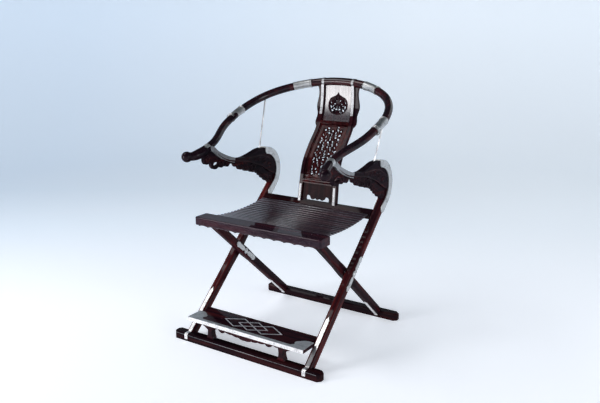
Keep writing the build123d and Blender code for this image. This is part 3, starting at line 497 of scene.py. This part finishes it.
def arm_curves():
    """Carved lines in the side view: path, thickness, and whether they lie on the saddle or the fringe."""
    smallest_lobe = 0.018
    curves = []
    for a, b in zip(lobes, lobes[1:]):
        low, high = Vector(on_arm(*a)), Vector(on_arm(*b))
        chord = high - low
        inward = Vector((chord.y, -chord.x)).normalized()
        if inward.y < 0:
            inward = -inward
        size = chord.length
        if size < smallest_lobe or a == slotted_lobe:
            continue
        middle = (low + high) / 2
        start = math.atan2(chord.y, chord.x)
        eddy = curl(middle + inward * size * 0.14, size * 0.38, start, 1.25, -1, 20, 0.3)
        curves.append((eddy, size * 0.11, "fringe"))
        tail = [low + inward * size * 0.3, middle + inward * size * 0.66, high + inward * size * 0.52]
        curves.append((smooth_line(tail, 12), size * 0.08, "fringe"))
    y, z = on_arm(*slot_shares)
    turns = [t * math.pi / 15 for t in range(-8, 21)]
    ring = [(y + 0.0225 * math.cos(turn), z + 0.012 * math.sin(turn)) for turn in turns]
    curves.append((ring, 0.0036, "fringe"))
    edge = [Vector(on_arm(*pair)) + Vector((0, 0.0035)) for pair in belly]
    curves.append((smooth_line(edge, 60), 0.0036, "saddle"))
    for forward, up, radius, start, hand in saddle_curls:
        centre = (neck_top[0] - forward, neck_top[1] + up)
        curves.append((curl(centre, radius, start, 1.3, hand, 24, 0.28), radius * 0.30, "saddle"))
    course = [(neck_top[0] - forward, neck_top[1] + up) for forward, up in saddle_ridge]
    curves.append((smooth_line(course, 40), 0.0042, "saddle"))
    return curves


def carve_arms():
    """The carved lines on both faces of both brackets."""
    half_depth = {"saddle": 0.015, "fringe": 0.007}
    for side, label in ((1, "left"), (-1, "right")):
        bm = bmesh.new()
        for course, thick, where in arm_curves():
            for face in (1, -1):
                x = side * arm_x + face * half_depth[where]
                path = [(x, point[0], point[1]) for point in course]
                sweep(bm, path, taper(len(path), thick), 6, 0.8, (1, 0, 0))
        piece("arm_carving_" + label, bm, "front_frame", along_y)


# Splat: scrollwork over the openings, mouldings and beads

splat_foot_z, splat_rise = 0.503, 0.497
splat_foot_half, splat_top_half = 0.087, 0.075


def splat_half(z):
    """Half the splat's width between its stiles' middles at a height."""
    return splat_foot_half + (splat_top_half - splat_foot_half) * (z - splat_foot_z) / splat_rise


def middle_half(z):
    """Half the width of the pierced middle panel at a height."""
    return splat_half(z) - 0.008


def front_line(node):
    """Course of the front of a splat piece: its y for each height."""
    co = np.array([v.co for v in nodes[node].data.vertices])
    low, high = co[:, 2].min(), co[:, 2].max()
    edges = np.linspace(low, high, 26)
    heights, ys = [], []
    for a, b in zip(edges, edges[1:]):
        inside = (co[:, 2] >= a) & (co[:, 2] <= b)
        if inside.any():
            rows = co[inside]
            best = rows[rows[:, 1].argmin()]
            heights.append(best[2])
            ys.append(best[1])
    fit = np.polyfit(heights, ys, 4)
    return lambda z: float(np.polyval(fit, z))


def nearest(points, segments):
    """Distance from each grid point to the nearest of many short lines."""
    best = np.full(len(points), 9.0)
    for a, b in segments:
        along = b - a
        share = np.clip(((points - a) @ along) / max(along @ along, 1e-12), 0, 1)
        gap = points - (a + share[:, None] * along)
        best = np.minimum(best, np.sqrt((gap * gap).sum(1)))
    return best


def within(points, outline):
    """Whether each grid point lies inside a closed outline."""
    hit = np.zeros(len(points), bool)
    for (ax, az), (bx, bz) in zip(outline, np.roll(outline, -1, 0)):
        if az == bz:
            continue
        cross = (az > points[:, 1]) != (bz > points[:, 1])
        hit ^= cross & (points[:, 0] < (bx - ax) * (points[:, 1] - az) / (bz - az) + ax)
    return hit


def openings(grid, marks):
    """How far each grid point lies inside the nearest of many leaf-shaped openings, in metres."""
    best = np.full(len(grid), -0.02)
    for x, z, long, short, turn in marks:
        along = (grid[:, 0] - x) * math.cos(turn) + (grid[:, 1] - z) * math.sin(turn)
        across = (grid[:, 1] - z) * math.cos(turn) - (grid[:, 0] - x) * math.sin(turn)
        across = across - 0.25 * along * along / long
        far = np.sqrt((along / long) ** 2 + (across / short) ** 2)
        best = np.maximum(best, (1 - far) * short)
    return best


def segments_of(paths):
    """Short lines along paths of x and z, as pairs of points."""
    pairs = []
    for path in paths:
        points = [np.array((p[0], p[1])) for p in path]
        pairs += list(zip(points, points[1:]))
    return pairs


def openwork(name, node, spans, step, stems, solid, relief, material, course):
    """Pierced and carved sheet on the splat, round stems that are short lines of x and z.

    From the grid and its distance to the stems, solid gives how deep inside the wood a point is, and relief
    how far its face stands out, both in metres.
    """
    thickness = 0.008
    (x_low, x_high), (z_low, z_high) = spans
    columns, rows = int((x_high - x_low) / step), int((z_high - z_low) / step)
    xs = np.linspace(x_low, x_high, columns + 1)
    zs = np.linspace(z_low, z_high, rows + 1)
    grid = np.array([(x, z) for z in zs for x in xs])
    gap = nearest(grid, stems)
    depth = solid(grid, gap).reshape(rows + 1, columns + 1)
    slope_z, slope_x = np.gradient(depth, zs, xs)
    steep = np.maximum(np.sqrt(slope_x**2 + slope_z**2), 0.4)
    pull = np.clip(-depth / steep, -0.75 * step, 0.75 * step) * (np.abs(depth) < step)
    raised = relief(grid, gap).reshape(rows + 1, columns + 1)
    inside = depth > 0
    cells = (inside[:-1, :-1].astype(int) + inside[1:, :-1] + inside[:-1, 1:] + inside[1:, 1:]) >= 2
    bm = bmesh.new()
    made = {}

    def corner(row, column, back):
        key = (row, column, back)
        if key not in made:
            x = xs[column] + pull[row, column] * slope_x[row, column] / steep[row, column]
            z = zs[row] + pull[row, column] * slope_z[row, column] / steep[row, column]
            x = min(max(x, x_low), x_high)
            z = min(max(z, z_low), z_high)
            y = course(z) - raised[row, column] if not back else course(z) + thickness + raised[row, column]
            made[key] = bm.verts.new((x, y, z))
        return made[key]

    for row in range(rows):
        for column in range(columns):
            if not cells[row, column]:
                continue
            ring = [(row, column), (row, column + 1), (row + 1, column + 1), (row + 1, column)]
            bm.faces.new([corner(*place, False) for place in ring])
            bm.faces.new([corner(*place, True) for place in reversed(ring)])
            beside = ((row - 1, column), (row, column + 1), (row + 1, column), (row, column - 1))
            for k, (r, c) in enumerate(beside):
                if 0 <= r < rows and 0 <= c < columns and cells[r, c]:
                    continue
                a, b = ring[k], ring[(k + 1) % 4]
                bm.faces.new((corner(*b, False), corner(*a, False), corner(*a, True), corner(*b, True)))
    thing = piece(name, bm, "front_frame", material)
    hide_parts(node)


def middle_openwork():
    """Scrolling stems and leaves inside a plain border, pierced between them."""
    node = "splat_middle_panel"
    low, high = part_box(node)
    z_low, z_high = low[2], high[2]
    rows, border = 12, 0.018
    pitch = (z_high - z_low - 2 * border) / rows
    vines, marks = [], []
    for row in range(rows):
        z = z_low + border + (row + 0.5) * pitch
        reach = middle_half(z) - 0.027
        for column in range(5):
            x = (column - 2) * reach * 0.45 + 0.0022 * math.sin(3.1 * row + 1.9 * column)
            lift = (0.22 if column % 2 else -0.22) * pitch
            turn = 2.4 * row + 1.1 * column + 0.4 * math.sin(5 * row + column)
            size = 0.0074 + 0.0018 * math.sin(1.7 * row + 2.9 * column)
            marks.append((x, z + lift, size + 0.0026, 0.60 * size + 0.0012, turn))
            hand = 1 if (row + column) % 2 else -1
            vines.append(curl((x, z + lift), 0.0078, turn, 0.8, hand, 14, 0.55))

    def solid(grid, gap):
        outline = middle_half(grid[:, 1]) - np.abs(grid[:, 0])
        return np.minimum(outline + 0.0004, np.maximum(0.0007 - gap, -openings(grid, marks)))

    def relief(grid, gap):
        edge = middle_half(grid[:, 1]) - 0.022 - np.abs(grid[:, 0])
        inner = np.minimum(edge, np.minimum(grid[:, 1] - z_low - 0.012, z_high - 0.012 - grid[:, 1])) > 0
        stem = 0.0032 * np.sqrt(np.clip(1 - (gap / 0.0028) ** 2, 0, 1)) - 0.0006
        return np.where(inner, stem, 0)

    spans = ((-0.0795, 0.0795), (z_low, z_high))
    stems = segments_of(vines)
    openwork("splat_openwork", node, spans, 0.0011, stems, solid, relief, panel_wood, front_line(node))


# Left half of the medallion's rim, in shares of its half width and half height
medallion_rim = (
    (0, -1), (0.55, -0.86), (0.90, -0.5), (1.0, 0.05), (0.80, 0.62), (0.30, 0.92), (0.06, 1.10), (0, 1.27),
)
# Curls on that half, from its centre: x, z, radius, start angle, turns, hand
medallion_curls = (
    (0.0185, 0.013, 0.0118, 2.6, 1.35, -1), (0.0225, -0.013, 0.0118, 1.2, 1.35, 1),
    (0.0085, -0.0275, 0.0085, 0.4, 1.2, -1), (0.0085, 0.030, 0.0078, 2.4, 1.2, 1),
    (0.0345, 0.002, 0.0065, 0.2, 1.1, -1), (0.006, -0.004, 0.0062, 1.6, 1.1, 1),
)
# Leaf-shaped openings there: x, z, half length, half width, angle
medallion_leaves = (
    (0.0340, -0.0105, 0.0058, 0.0034, 1.1), (0.0262, -0.0225, 0.0062, 0.0036, 2.4),
    (0.0140, -0.0310, 0.0052, 0.0032, 2.9), (0.0150, -0.0175, 0.0050, 0.0030, 0.6),
    (0.0240, -0.0070, 0.0046, 0.0028, 1.9), (0.0052, -0.0205, 0.0046, 0.0026, 1.5),
    (0.0075, -0.0075, 0.0044, 0.0028, 0.3), (0.0355, 0.0070, 0.0044, 0.0026, 1.6),
    (0.0170, 0.0045, 0.0042, 0.0026, 2.6), (0.0265, 0.0190, 0.0042, 0.0024, 2.2),
    (0.0100, 0.0180, 0.0042, 0.0024, 0.9), (0.0060, 0.0300, 0.0034, 0.0020, 1.2),
)


def medallion_openwork():
    """Mirrored scrolls inside an ogee rim, pierced between them."""
    node = "splat_medallion"
    centre_z = splat_foot_z + splat_rise * 0.827
    half_width, half_height = 0.0458, 0.0408
    paths, outline, marks = [], [], []
    for side in (1, -1):
        rim = [(side * a * half_width, centre_z + b * half_height) for a, b in medallion_rim]
        line = [(p.x, p.y) for p in smooth_line(rim, 44)]
        paths.append(line)
        outline += line if side > 0 else line[::-1]
        for x, z, radius, start, turns, hand in medallion_curls:
            centre = (side * x, centre_z + z)
            paths.append(curl(centre, radius, mirrored(start, side), turns, hand * side, 20, 0.22))
        for x, z, long, short, turn in medallion_leaves:
            marks.append((side * x, centre_z + z, 1.5 * long, 1.55 * short, mirrored(turn, side)))
    ring = np.array(outline)
    rims = segments_of([outline])

    def solid(grid, gap):
        rim = nearest(grid, rims)
        edge = np.where(within(grid, ring), rim, -rim)
        return np.minimum(edge + 0.0024, np.maximum(0.0006 - gap, -openings(grid, marks)))

    def relief(grid, gap):
        return 0.0026 * np.sqrt(np.clip(1 - (gap / 0.0030) ** 2, 0, 1))

    spans = ((-0.050, 0.050), (centre_z - 0.044, centre_z + 0.056))
    stems, course = segments_of(paths), front_line("splat_top_panel")
    openwork("medallion_openwork", node, spans, 0.0009, stems, solid, relief, medallion_wood, course)


def splat_beads():
    """Rounded mouldings: a frame round the middle panel and beads along the two cross rails."""
    node = "splat_middle_panel"
    low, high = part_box(node)
    course = front_line(node)
    inset, sunk, radius = 0.0115, 0.0005, 0.0032
    bm = bmesh.new()
    z_low, z_high = low[2] + 0.006, high[2] - 0.006
    for side in (1, -1):
        line = []
        for i in range(24):
            z = z_low + (z_high - z_low) * i / 23
            line.append((side * (splat_half(z) - inset), course(z) - sunk, z))
        sweep(bm, line, [radius] * len(line), 8)
    for z in (z_low, z_high):
        half = splat_half(z) - inset
        crossbar(bm, -half, half, course(z) - sunk, z, radius)
    for rail in ("splat_upper_rail", "splat_lower_rail"):
        a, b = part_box(rail)
        z = (a[2] + b[2]) / 2
        point, _ = struck(rail, (0, a[1] - 0.05, z), (0, 1, 0))
        y = point.y if point is not None else a[1]
        crossbar(bm, a[0] + 0.004, b[0] - 0.004, y, z, 0.0034, 10)
    piece("splat_beads", bm, "front_frame", panel_wood)


# Seat rail and footrest: running scrolls, cusps and wire

def front_scroll(bm, pairs, face_y, thick):
    """Flattened scroll on a face that looks forward; pairs give its x and z."""
    sweep(bm, [(x, face_y, z) for x, z in pairs], taper(len(pairs), thick), 6, 0.7, (0, 1, 0))


def seat_rail_scrolls():
    """Running scrolls between two thin mouldings on the front seat rail."""
    face_y, middle_z = -0.279, 0.4865
    count, pitch, radius = 13, 0.042, 0.0098
    bm = bmesh.new()
    for index in range(count):
        x = (index - count // 2) * pitch
        up = 1 if index % 2 else -1
        centre = (x, middle_z + up * 0.0025)
        front_scroll(bm, curl(centre, radius, quarter * up, 1.5, up, 22, 0.18), face_y, 0.0021)
        if index < count - 1:
            next_z = middle_z - up * 0.0123
            link = [(x, centre[1] + up * radius), (x + pitch / 2, middle_z), (x + pitch, next_z)]
            front_scroll(bm, [(p.x, p.y) for p in smooth_line(link, 10)], face_y, 0.0019)
    for z in (0.4735, 0.4965):
        crossbar(bm, -0.286, 0.286, face_y, z, 0.0014)
    piece("seat_rail_carving", bm, "rear_frame", rail_wood)


def apron_scrolls():
    """Three curls on each half of the footrest's apron."""
    bm = bmesh.new()
    for side in (1, -1):
        for x, z, radius, start, hand in (
            (0.014, 0.0825, 0.0062, 3.4, 1), (0.036, 0.083, 0.0055, 0.4, -1), (0.060, 0.0845, 0.0045, 3.2, 1),
        ):
            path = curl((side * x, z), radius, mirrored(start, side), 1.5, hand * side)
            front_scroll(bm, path, -0.3495, 0.0015)
    piece("footrest_apron_carving", bm, "footrest", along_x)


def bar_wire():
    """Metal wire let into the front floor bar, along its upper edge."""
    bm = bmesh.new()
    crossbar(bm, -0.339, 0.339, -0.3702, 0.0262, 0.0009)
    piece("front_bar_wire", bm, "front_frame", dark_metal)


def cusped_edge():
    """Shallow arches between points along the lower front edge of the seat rail."""
    half, pitch, steps = 0.276, 0.046, 216
    top_z, arch_z = 0.4745, 0.4712
    front_y, bevel_y, back_y = -0.2806, -0.2795, -0.2720
    bm = bmesh.new()
    rings = []
    for i in range(steps + 1):
        x = -half + 2 * half * i / steps
        drop = 0.0042 * (1 - abs(math.sin(math.pi * (x + half) / pitch))) ** 1.3
        low = arch_z - drop
        profile = ((front_y, top_z), (front_y, low + 0.0008), (bevel_y, low), (back_y, low), (back_y, top_z))
        rings.append([bm.verts.new((x, y, z)) for y, z in profile])
    skin(bm, rings)
    bm.faces.new(rings[0])
    bm.faces.new(rings[-1][::-1])
    piece("seat_rail_cusps", bm, "rear_frame", rail_wood)


# Rods, slats, crest ends, footrest edge and sleeves

def fluted_rods():
    """Twisted fluting on the two slim rods between arm bracket and crest rail."""
    flutes, twist, sides, steps = 6, 0.35, 24, 60
    co = np.array([v.co for v in nodes["arm_rods"].data.vertices])
    bm = bmesh.new()
    for side in (1, -1):
        own = co[co[:, 0] * side > 0]
        foot = own[own[:, 2] < own[:, 2].min() + 0.004].mean(0)
        head = own[own[:, 2] > own[:, 2].max() - 0.004].mean(0)
        along = Vector(head - foot)
        turn = Vector((0, 0, 1)).rotation_difference(along).to_matrix()
        rings = []
        for i in range(steps + 1):
            centre = Vector(foot) + along * (i / steps)
            ring = []
            for k in range(sides):
                angle = k / sides * 2 * math.pi
                radius = 0.0037 + 0.0005 * math.cos(flutes * angle + i * twist)
                spoke = Vector((radius * math.cos(angle), radius * math.sin(angle), 0))
                ring.append(bm.verts.new(centre + turn @ spoke))
            rings.append(ring)
        skin(bm, rings)
        bm.faces.new(rings[0][::-1])
        bm.faces.new(rings[-1])
    thing = piece("arm_rods_fluted", bm, "front_frame", bright_metal)
    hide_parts("arm_rods")


slat_labels = [f"{index + 1:02d}" for index in range(16)]


def round_slats():
    """Each slat's top is gently rounded across its width."""
    profile = [(-1, -0.55), (-0.93, -1), (0.93, -1), (1, -0.55)]
    for k in range(15):
        turn = math.pi * k / 14
        profile.append((math.cos(turn), 0.05 + 0.95 * math.sin(turn) ** 1.15))
    for label in slat_labels:
        node = "seat_slat_" + label
        co = np.array([v.co for v in nodes[node].data.vertices])
        flat = co[:, 1:]
        centre = (flat.min(0) + flat.max(0)) / 2
        axis = np.linalg.svd(flat - flat.mean(0), full_matrices=False)[2][0]
        if axis[0] < 0:
            axis = -axis
        wide = Vector((0, axis[0], axis[1]))
        up = Vector((0, -axis[1], axis[0]))
        half_wide = abs((flat - centre) @ axis).max()
        half_thick = abs((flat - centre) @ np.array((-axis[1], axis[0]))).max()
        middle = Vector((0, centre[0], centre[1]))
        half_long = co[:, 0].max()
        bm = bmesh.new()
        rings = []
        ends = ((-half_long, 0.9), (-half_long + 0.001, 1), (half_long - 0.001, 1), (half_long, 0.9))
        for x, shrink in ends:
            place = middle + Vector((x, 0, 0))
            ring = [place + wide * a * half_wide * shrink + up * b * half_thick * shrink for a, b in profile]
            rings.append([bm.verts.new(point) for point in ring])
        skin(bm, rings)
        bm.faces.new(rings[0])
        bm.faces.new(rings[-1][::-1])
        thing = piece("slat_round_" + label, bm, "slat_" + label, slat_wood)
        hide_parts(node)


def crest_ends():
    """The crest rail swells toward its rounded heads, and a metal strap crosses it where the arm begins."""
    grip_marks = (
        (0.2879, -0.1929, 0.7757), (0.2900, -0.2250, 0.7595), (0.2985, -0.2590, 0.7482),
        (0.3190, -0.2878, 0.7456),
    )
    strap_marks = ((0.2879, -0.1929, 0.7757), (0.2890, -0.2080, 0.7690), (0.2902, -0.2200, 0.7625))
    neck, swell, fall, widest = 0.0149, 0.0040, 0.0022, 0.58
    head, strap_radius = 0.0216, 0.0166
    for side, label in ((1, "left"), (-1, "right")):
        bm = bmesh.new()
        course = smooth_line([(side * x, y, z) for x, y, z in grip_marks], 31)
        end_x, end_y, end_z = grip_marks[-1]
        end = Vector((side * end_x, end_y, end_z))
        ahead = (course[-1] - course[-3]).normalized()
        path, radii = [], []
        for i, point in enumerate(course):
            if (point - end).length < 0.62 * head:
                break
            t = i / 30
            path.append(point)
            rise = swell * math.sin(min(1.0, t / widest) * quarter)
            radii.append(neck + rise - fall * max(0, t - widest) / 0.3)
        for k in range(19):
            turn = math.radians(-38 + 128 * k / 18)
            path.append(end + ahead * head * math.sin(turn))
            radii.append(max(head * math.cos(turn), 0.0006))
        sweep(bm, path, radii, 32)
        piece("crest_rail_grip_" + label, bm, "front_frame", grip_wood)
        bm = bmesh.new()
        strap = smooth_line([(side * x, y, z) for x, y, z in strap_marks], 9)
        sweep(bm, strap, [strap_radius] * len(strap), 32)
        piece("crest_rail_strap_" + label, bm, "front_frame", metal)


def footrest_flange():
    """Metal edge of the footrest, turned over onto its top."""
    low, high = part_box("footrest_board")
    half, front, rear = 0.276, low[1] - 0.0012, low[1] + 0.016
    corners = ((-half, front), (half, front), (half, rear), (-half, rear))
    bm = bmesh.new()
    rings = [[bm.verts.new((x, y, z)) for x, y in corners] for z in (high[2] + 0.0002, high[2] + 0.0011)]
    bm.faces.new(rings[1])
    bm.faces.new(rings[0][::-1])
    skin(bm, rings)
    thing = piece("footrest_edge_flange", bm, "footrest", metal)
    for face in thing.data.polygons:
        face.use_smooth = False


def sleeve_rings():
    """Two raised hoops at each end of the crest rail's sleeves."""
    wire, insets = 0.0012, (0.0014, 0.0070)
    bm = bmesh.new()
    mesh = nodes["crest_rail_sleeves"].data
    groups = {}
    for face in mesh.polygons:
        key = tuple(round(v, 2) for v in face.normal)
        groups.setdefault(key, []).append(face)
    for faces in groups.values():
        points = np.array([mesh.vertices[k].co for face in faces for k in face.vertices])
        centre = (points.min(0) + points.max(0)) / 2
        reach = np.linalg.norm(points - centre, axis=1)
        if len(faces) < 12 or reach.max() > 0.022 or reach.min() < 0.010:
            continue
        normal = Vector(faces[0].normal)
        turn = Vector((0, 0, 1)).rotation_difference(normal).to_matrix()
        for inset in insets:
            ring = []
            for k in range(41):
                angle = k / 40 * 2 * math.pi
                spoke = Vector((reach.max() * math.cos(angle), reach.max() * math.sin(angle), -inset))
                ring.append(Vector(centre) + turn @ spoke)
            sweep(bm, ring, [wire] * len(ring), 6)
    piece("sleeve_rings", bm, "front_frame", rivet_metal)


# Seat cords: a short twisted piece through each slat, so that they part where the seat folds

def strand(bm, start, end):
    """Two yarns wound round each other from start to end."""
    radius, turns, steps = 0.0012, 2, 12
    along = (end - start).normalized()
    side = Vector((1, 0, 0))
    other = along.cross(side)
    for phase in (0, math.pi):
        path = []
        for i in range(steps + 1):
            t = i / steps
            turn = phase + turns * 2 * math.pi * t
            path.append(start.lerp(end, t) + (side * math.cos(turn) + other * math.sin(turn)) * radius * 0.5)
        sweep(bm, path, [radius * 0.62] * len(path), 6)


def rail_point(x, near, way):
    """Where a cord enters the front seat rail (way -1) or the rear one (way 1)."""
    rail = "front_seat_rail" if way < 0 else "rear_seat_rail"
    point, _ = struck(rail, (x, near.y, near.z), (0, way, 0))
    if point is None or abs(point.y - near.y) > 0.05:
        return Vector((x, near.y + way * 0.012, near.z))
    return point + Vector((0, way * 0.002, 0))


def seat_cords():
    """Five runs of cord: a piece through each slat, and one from each edge of the seat to its rail."""
    cord_xs = [share * 0.264 for share in (-0.88, -0.45, 0, 0.45, 0.88)]
    centres = []
    for label in slat_labels:
        low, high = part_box("seat_slat_" + label)
        centres.append(Vector((0, (low[1] + high[1]) / 2, (low[2] + high[2]) / 2)))
    front = centres[0] + (centres[0] - centres[1]) / 2
    rear = centres[-1] + (centres[-1] - centres[-2]) / 2
    joints = [front, *[(a + b) / 2 for a, b in zip(centres, centres[1:])], rear]
    pieces = []
    for label, start, end in zip(slat_labels, joints, joints[1:]):
        bm = bmesh.new()
        for x in cord_xs:
            strand(bm, start + Vector((x, 0, 0)), end + Vector((x, 0, 0)))
        pieces.append(piece("cord_piece_" + label, bm, "slat_" + label, cord_material))
    for name, body, near, way in (
        ("cord_end_front", "rear_frame", front, -1), ("cord_end_rear", "front_frame", rear, 1),
    ):
        bm = bmesh.new()
        for x in cord_xs:
            strand(bm, near + Vector((x, 0, 0)), rail_point(x, near, way))
        pieces.append(piece(name, bm, body, cord_material))
    for thing in pieces:
        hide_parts("seat_cords")


# Rivets: each place is a CAD piece, a point beside it and the direction from there to it

pivot_y, pivot_z = -0.031, 0.303
plate_reaches = (-0.076, -0.052, -0.030, 0.030, 0.052, 0.076)
standoff = 0.06
head_radius = 0.0021


def front_frame_rivets():
    """Heads on leg straps, neck bands, arm strips, splat straps and outer pivot plates."""
    up = Vector((0, math.cos(leg_slope), math.sin(leg_slope)))
    out = Vector((0, -math.sin(leg_slope), math.cos(leg_slope)))
    foot = Vector((0, -0.339, 0.016))
    neck_y, neck_z, neck_radius = 0.1754, 0.6184, 0.090
    places = []
    for x in (-arm_x, arm_x):
        for reach in (0.05, 0.095, 0.14, 0.185, 0.225):
            at = foot + up * reach + Vector((x, 0, 0))
            places.append(("front_leg_straps", at + out * standoff, -out))
        places.append(("front_leg_straps", (x, -0.42, 0.020), (0, 1, 0)))
        for turn in (10, 28, 46, 64, 80):
            y = neck_y + neck_radius * math.cos(math.radians(turn))
            z = neck_z + neck_radius * math.sin(math.radians(turn))
            for way in (1, -1):
                places.append(("neck_bands", (x + way * standoff, y, z), (-way, 0, 0)))
        for y, z in ((-0.075, 0.699), (-0.105, 0.707), (-0.135, 0.722), (-0.165, 0.744)):
            for way in (1, -1):
                places.append(("arm_bracket_strips", (x + way * standoff, y, z), (-way, 0, 0)))
    for side in (1, -1):
        for z in (0.985, 0.95, 0.915, 0.882):
            places.append(("splat_straps", (side * splat_half(z), 0.28, z), (0, 1, 0)))
        for z in (0.525, 0.548, 0.571):
            places.append(("splat_straps", (side * splat_half(z), 0.12, z), (0, 1, 0)))
        for along in plate_reaches:
            at = Vector((side * 0.36, pivot_y, pivot_z)) + up * along
            places.append(("pivot_plates_outer", at, (-side, 0, 0)))
    rivets("rivets_front_frame", "front_frame", places, head_radius)


def rear_frame_rivets():
    """Heads on the rear leg straps and the inner pivot plates."""
    up = Vector((0, -math.cos(leg_slope), math.sin(leg_slope)))
    out = Vector((0, math.sin(leg_slope), math.cos(leg_slope)))
    foot = Vector((0, 0.298, 0.016))
    places = []
    for side in (-1, 1):
        for reach in (0.05, 0.085, 0.12, 0.15):
            at = foot + up * reach + Vector((side * 0.249, 0, 0))
            places.append(("rear_leg_straps", at - out * standoff, out))
        for along in plate_reaches:
            at = Vector((side * 0.18, pivot_y, pivot_z)) + up * along
            places.append(("pivot_plates_inner", at, (side, 0, 0)))
    rivets("rivets_rear_frame", "rear_frame", places, head_radius)


def footrest_rivets():
    """A row of heads along the metal edge, and four on each end plate."""
    count, pitch = 15, 0.037
    row = [(index - count // 2) * pitch for index in range(count)]
    places = [("footrest_edge_band", (x, -0.42, 0.098), (0, 1, 0)) for x in row]
    for side in (1, -1):
        for x, y in ((0.262, -0.345), (0.262, -0.315), (0.235, -0.350), (0.256, -0.270)):
            places.append(("footrest_end_plates", (side * x, y, 0.15), (0, 0, -1)))
    rivets("rivets_footrest", "footrest", places, 0.0016)


def sleeve_rivets():
    """Three heads round each end of the crest rail's sleeves."""
    bm = bmesh.new()
    co = np.array([v.co for v in nodes["crest_rail_sleeves"].data.vertices])
    for side in (1, -1):
        directions = (Vector((0, 0, 1)), Vector((-side * 0.8, -0.6, 0.1)), Vector((side * 0.8, 0.6, 0.1)))
        for centre_y in (0.09, 0.33):
            own = co[(co[:, 0] * side > 0) & (abs(co[:, 1] - centre_y) < 0.11)]
            if len(own) < 8:
                continue
            middle = own.mean(0)
            spread = np.linalg.svd(own - middle, full_matrices=False)[2][0]
            reach = np.abs((own - middle) @ spread).max() - 0.007
            for end in (1, -1):
                base = Vector(middle + spread * reach * end)
                for direction in directions:
                    point, normal = struck("crest_rail_sleeves", base + direction * standoff, -direction)
                    if point is not None and (point - base).length < 0.04:
                        dome(bm, point, normal, 0.0019)
    piece("rivets_sleeves", bm, "front_frame", rivet_metal)


# Studio

def backdrop():
    """Round floor and wall in one sweep, with a paper that glows a little."""
    floor_reach, radius, steps = 4.2, 1.4, 72
    mesh = bpy.data.meshes.new("backdrop")
    profile = [(0.0, 0.0), (1.5, 0.0), (3.0, 0.0), (floor_reach, 0.0)]
    for i in range(1, 11):
        turn = i / 10 * quarter
        profile.append((floor_reach + radius * math.sin(turn), radius * (1 - math.cos(turn))))
    profile.append((5.6, 2.6))
    vertices = [(0, 0, 0)]
    for reach, z in profile[1:]:
        for step in range(steps):
            turn = 2 * math.pi * step / steps
            vertices.append((reach * math.cos(turn), reach * math.sin(turn), z))
    faces = []
    for step in range(steps):
        after = (step + 1) % steps
        faces.append((0, 1 + step, 1 + after))
        for ring in range(len(profile) - 2):
            low, high = 1 + ring * steps, 1 + (ring + 1) * steps
            faces.append((low + step, high + step, high + after, low + after))
    mesh.from_pydata(vertices, [], faces)
    for face in mesh.polygons:
        face.use_smooth = True
    studio = bpy.data.objects.new("backdrop", mesh)
    bpy.context.scene.collection.objects.link(studio)
    m = Nodes("paper")
    camera_azimuth = math.radians(-33.15)
    place = m.mapped((0, 0, camera_azimuth), (1, 1, 1))
    parts = m.add("ShaderNodeSeparateXYZ")
    m.link(place, parts.inputs[0])
    away = m.graded(parts.outputs["Y"], -1.0, 4.0)
    across = m.graded(parts.outputs["X"], -2.4, 1.4)
    # The paper's glow and its two ramps paint the studio's fall of light: whiter near the chair and to the
    # right, bluer and dimmer far off and to the left.
    left = m.ramp(away, [
        (0.0, (0.78, 0.80, 0.84)), (0.25, (0.80, 0.83, 0.885)), (0.5, (0.695, 0.78, 0.87)),
        (0.72, (0.605, 0.69, 0.785)),
    ])
    right = m.ramp(away, [
        (0.0, (0.90, 0.925, 0.965)), (0.25, (0.90, 0.93, 0.98)), (0.5, (0.78, 0.83, 0.885)),
        (0.72, (0.735, 0.785, 0.835)),
    ])
    blend = m.add("ShaderNodeMix", data_type="RGBA")
    m.link(across, blend.inputs["Factor"])
    m.link(left, blend.inputs[6])
    m.link(right, blend.inputs[7])
    m.link(blend.outputs[2], m.shader.inputs["Base Color"])
    m.link(blend.outputs[2], m.shader.inputs["Emission Color"])
    m.value("Emission Strength", 0.445)
    m.value("Roughness", 0.8)
    m.value("Specular IOR Level", 0.1)
    mesh.materials.append(m.material)


carve_arms()
middle_openwork()
medallion_openwork()
splat_beads()
seat_rail_scrolls()
apron_scrolls()
bar_wire()
cusped_edge()
fluted_rods()
round_slats()
crest_ends()
footrest_flange()
sleeve_rings()
seat_cords()
front_frame_rivets()
rear_frame_rivets()
footrest_rivets()
sleeve_rivets()
backdrop()
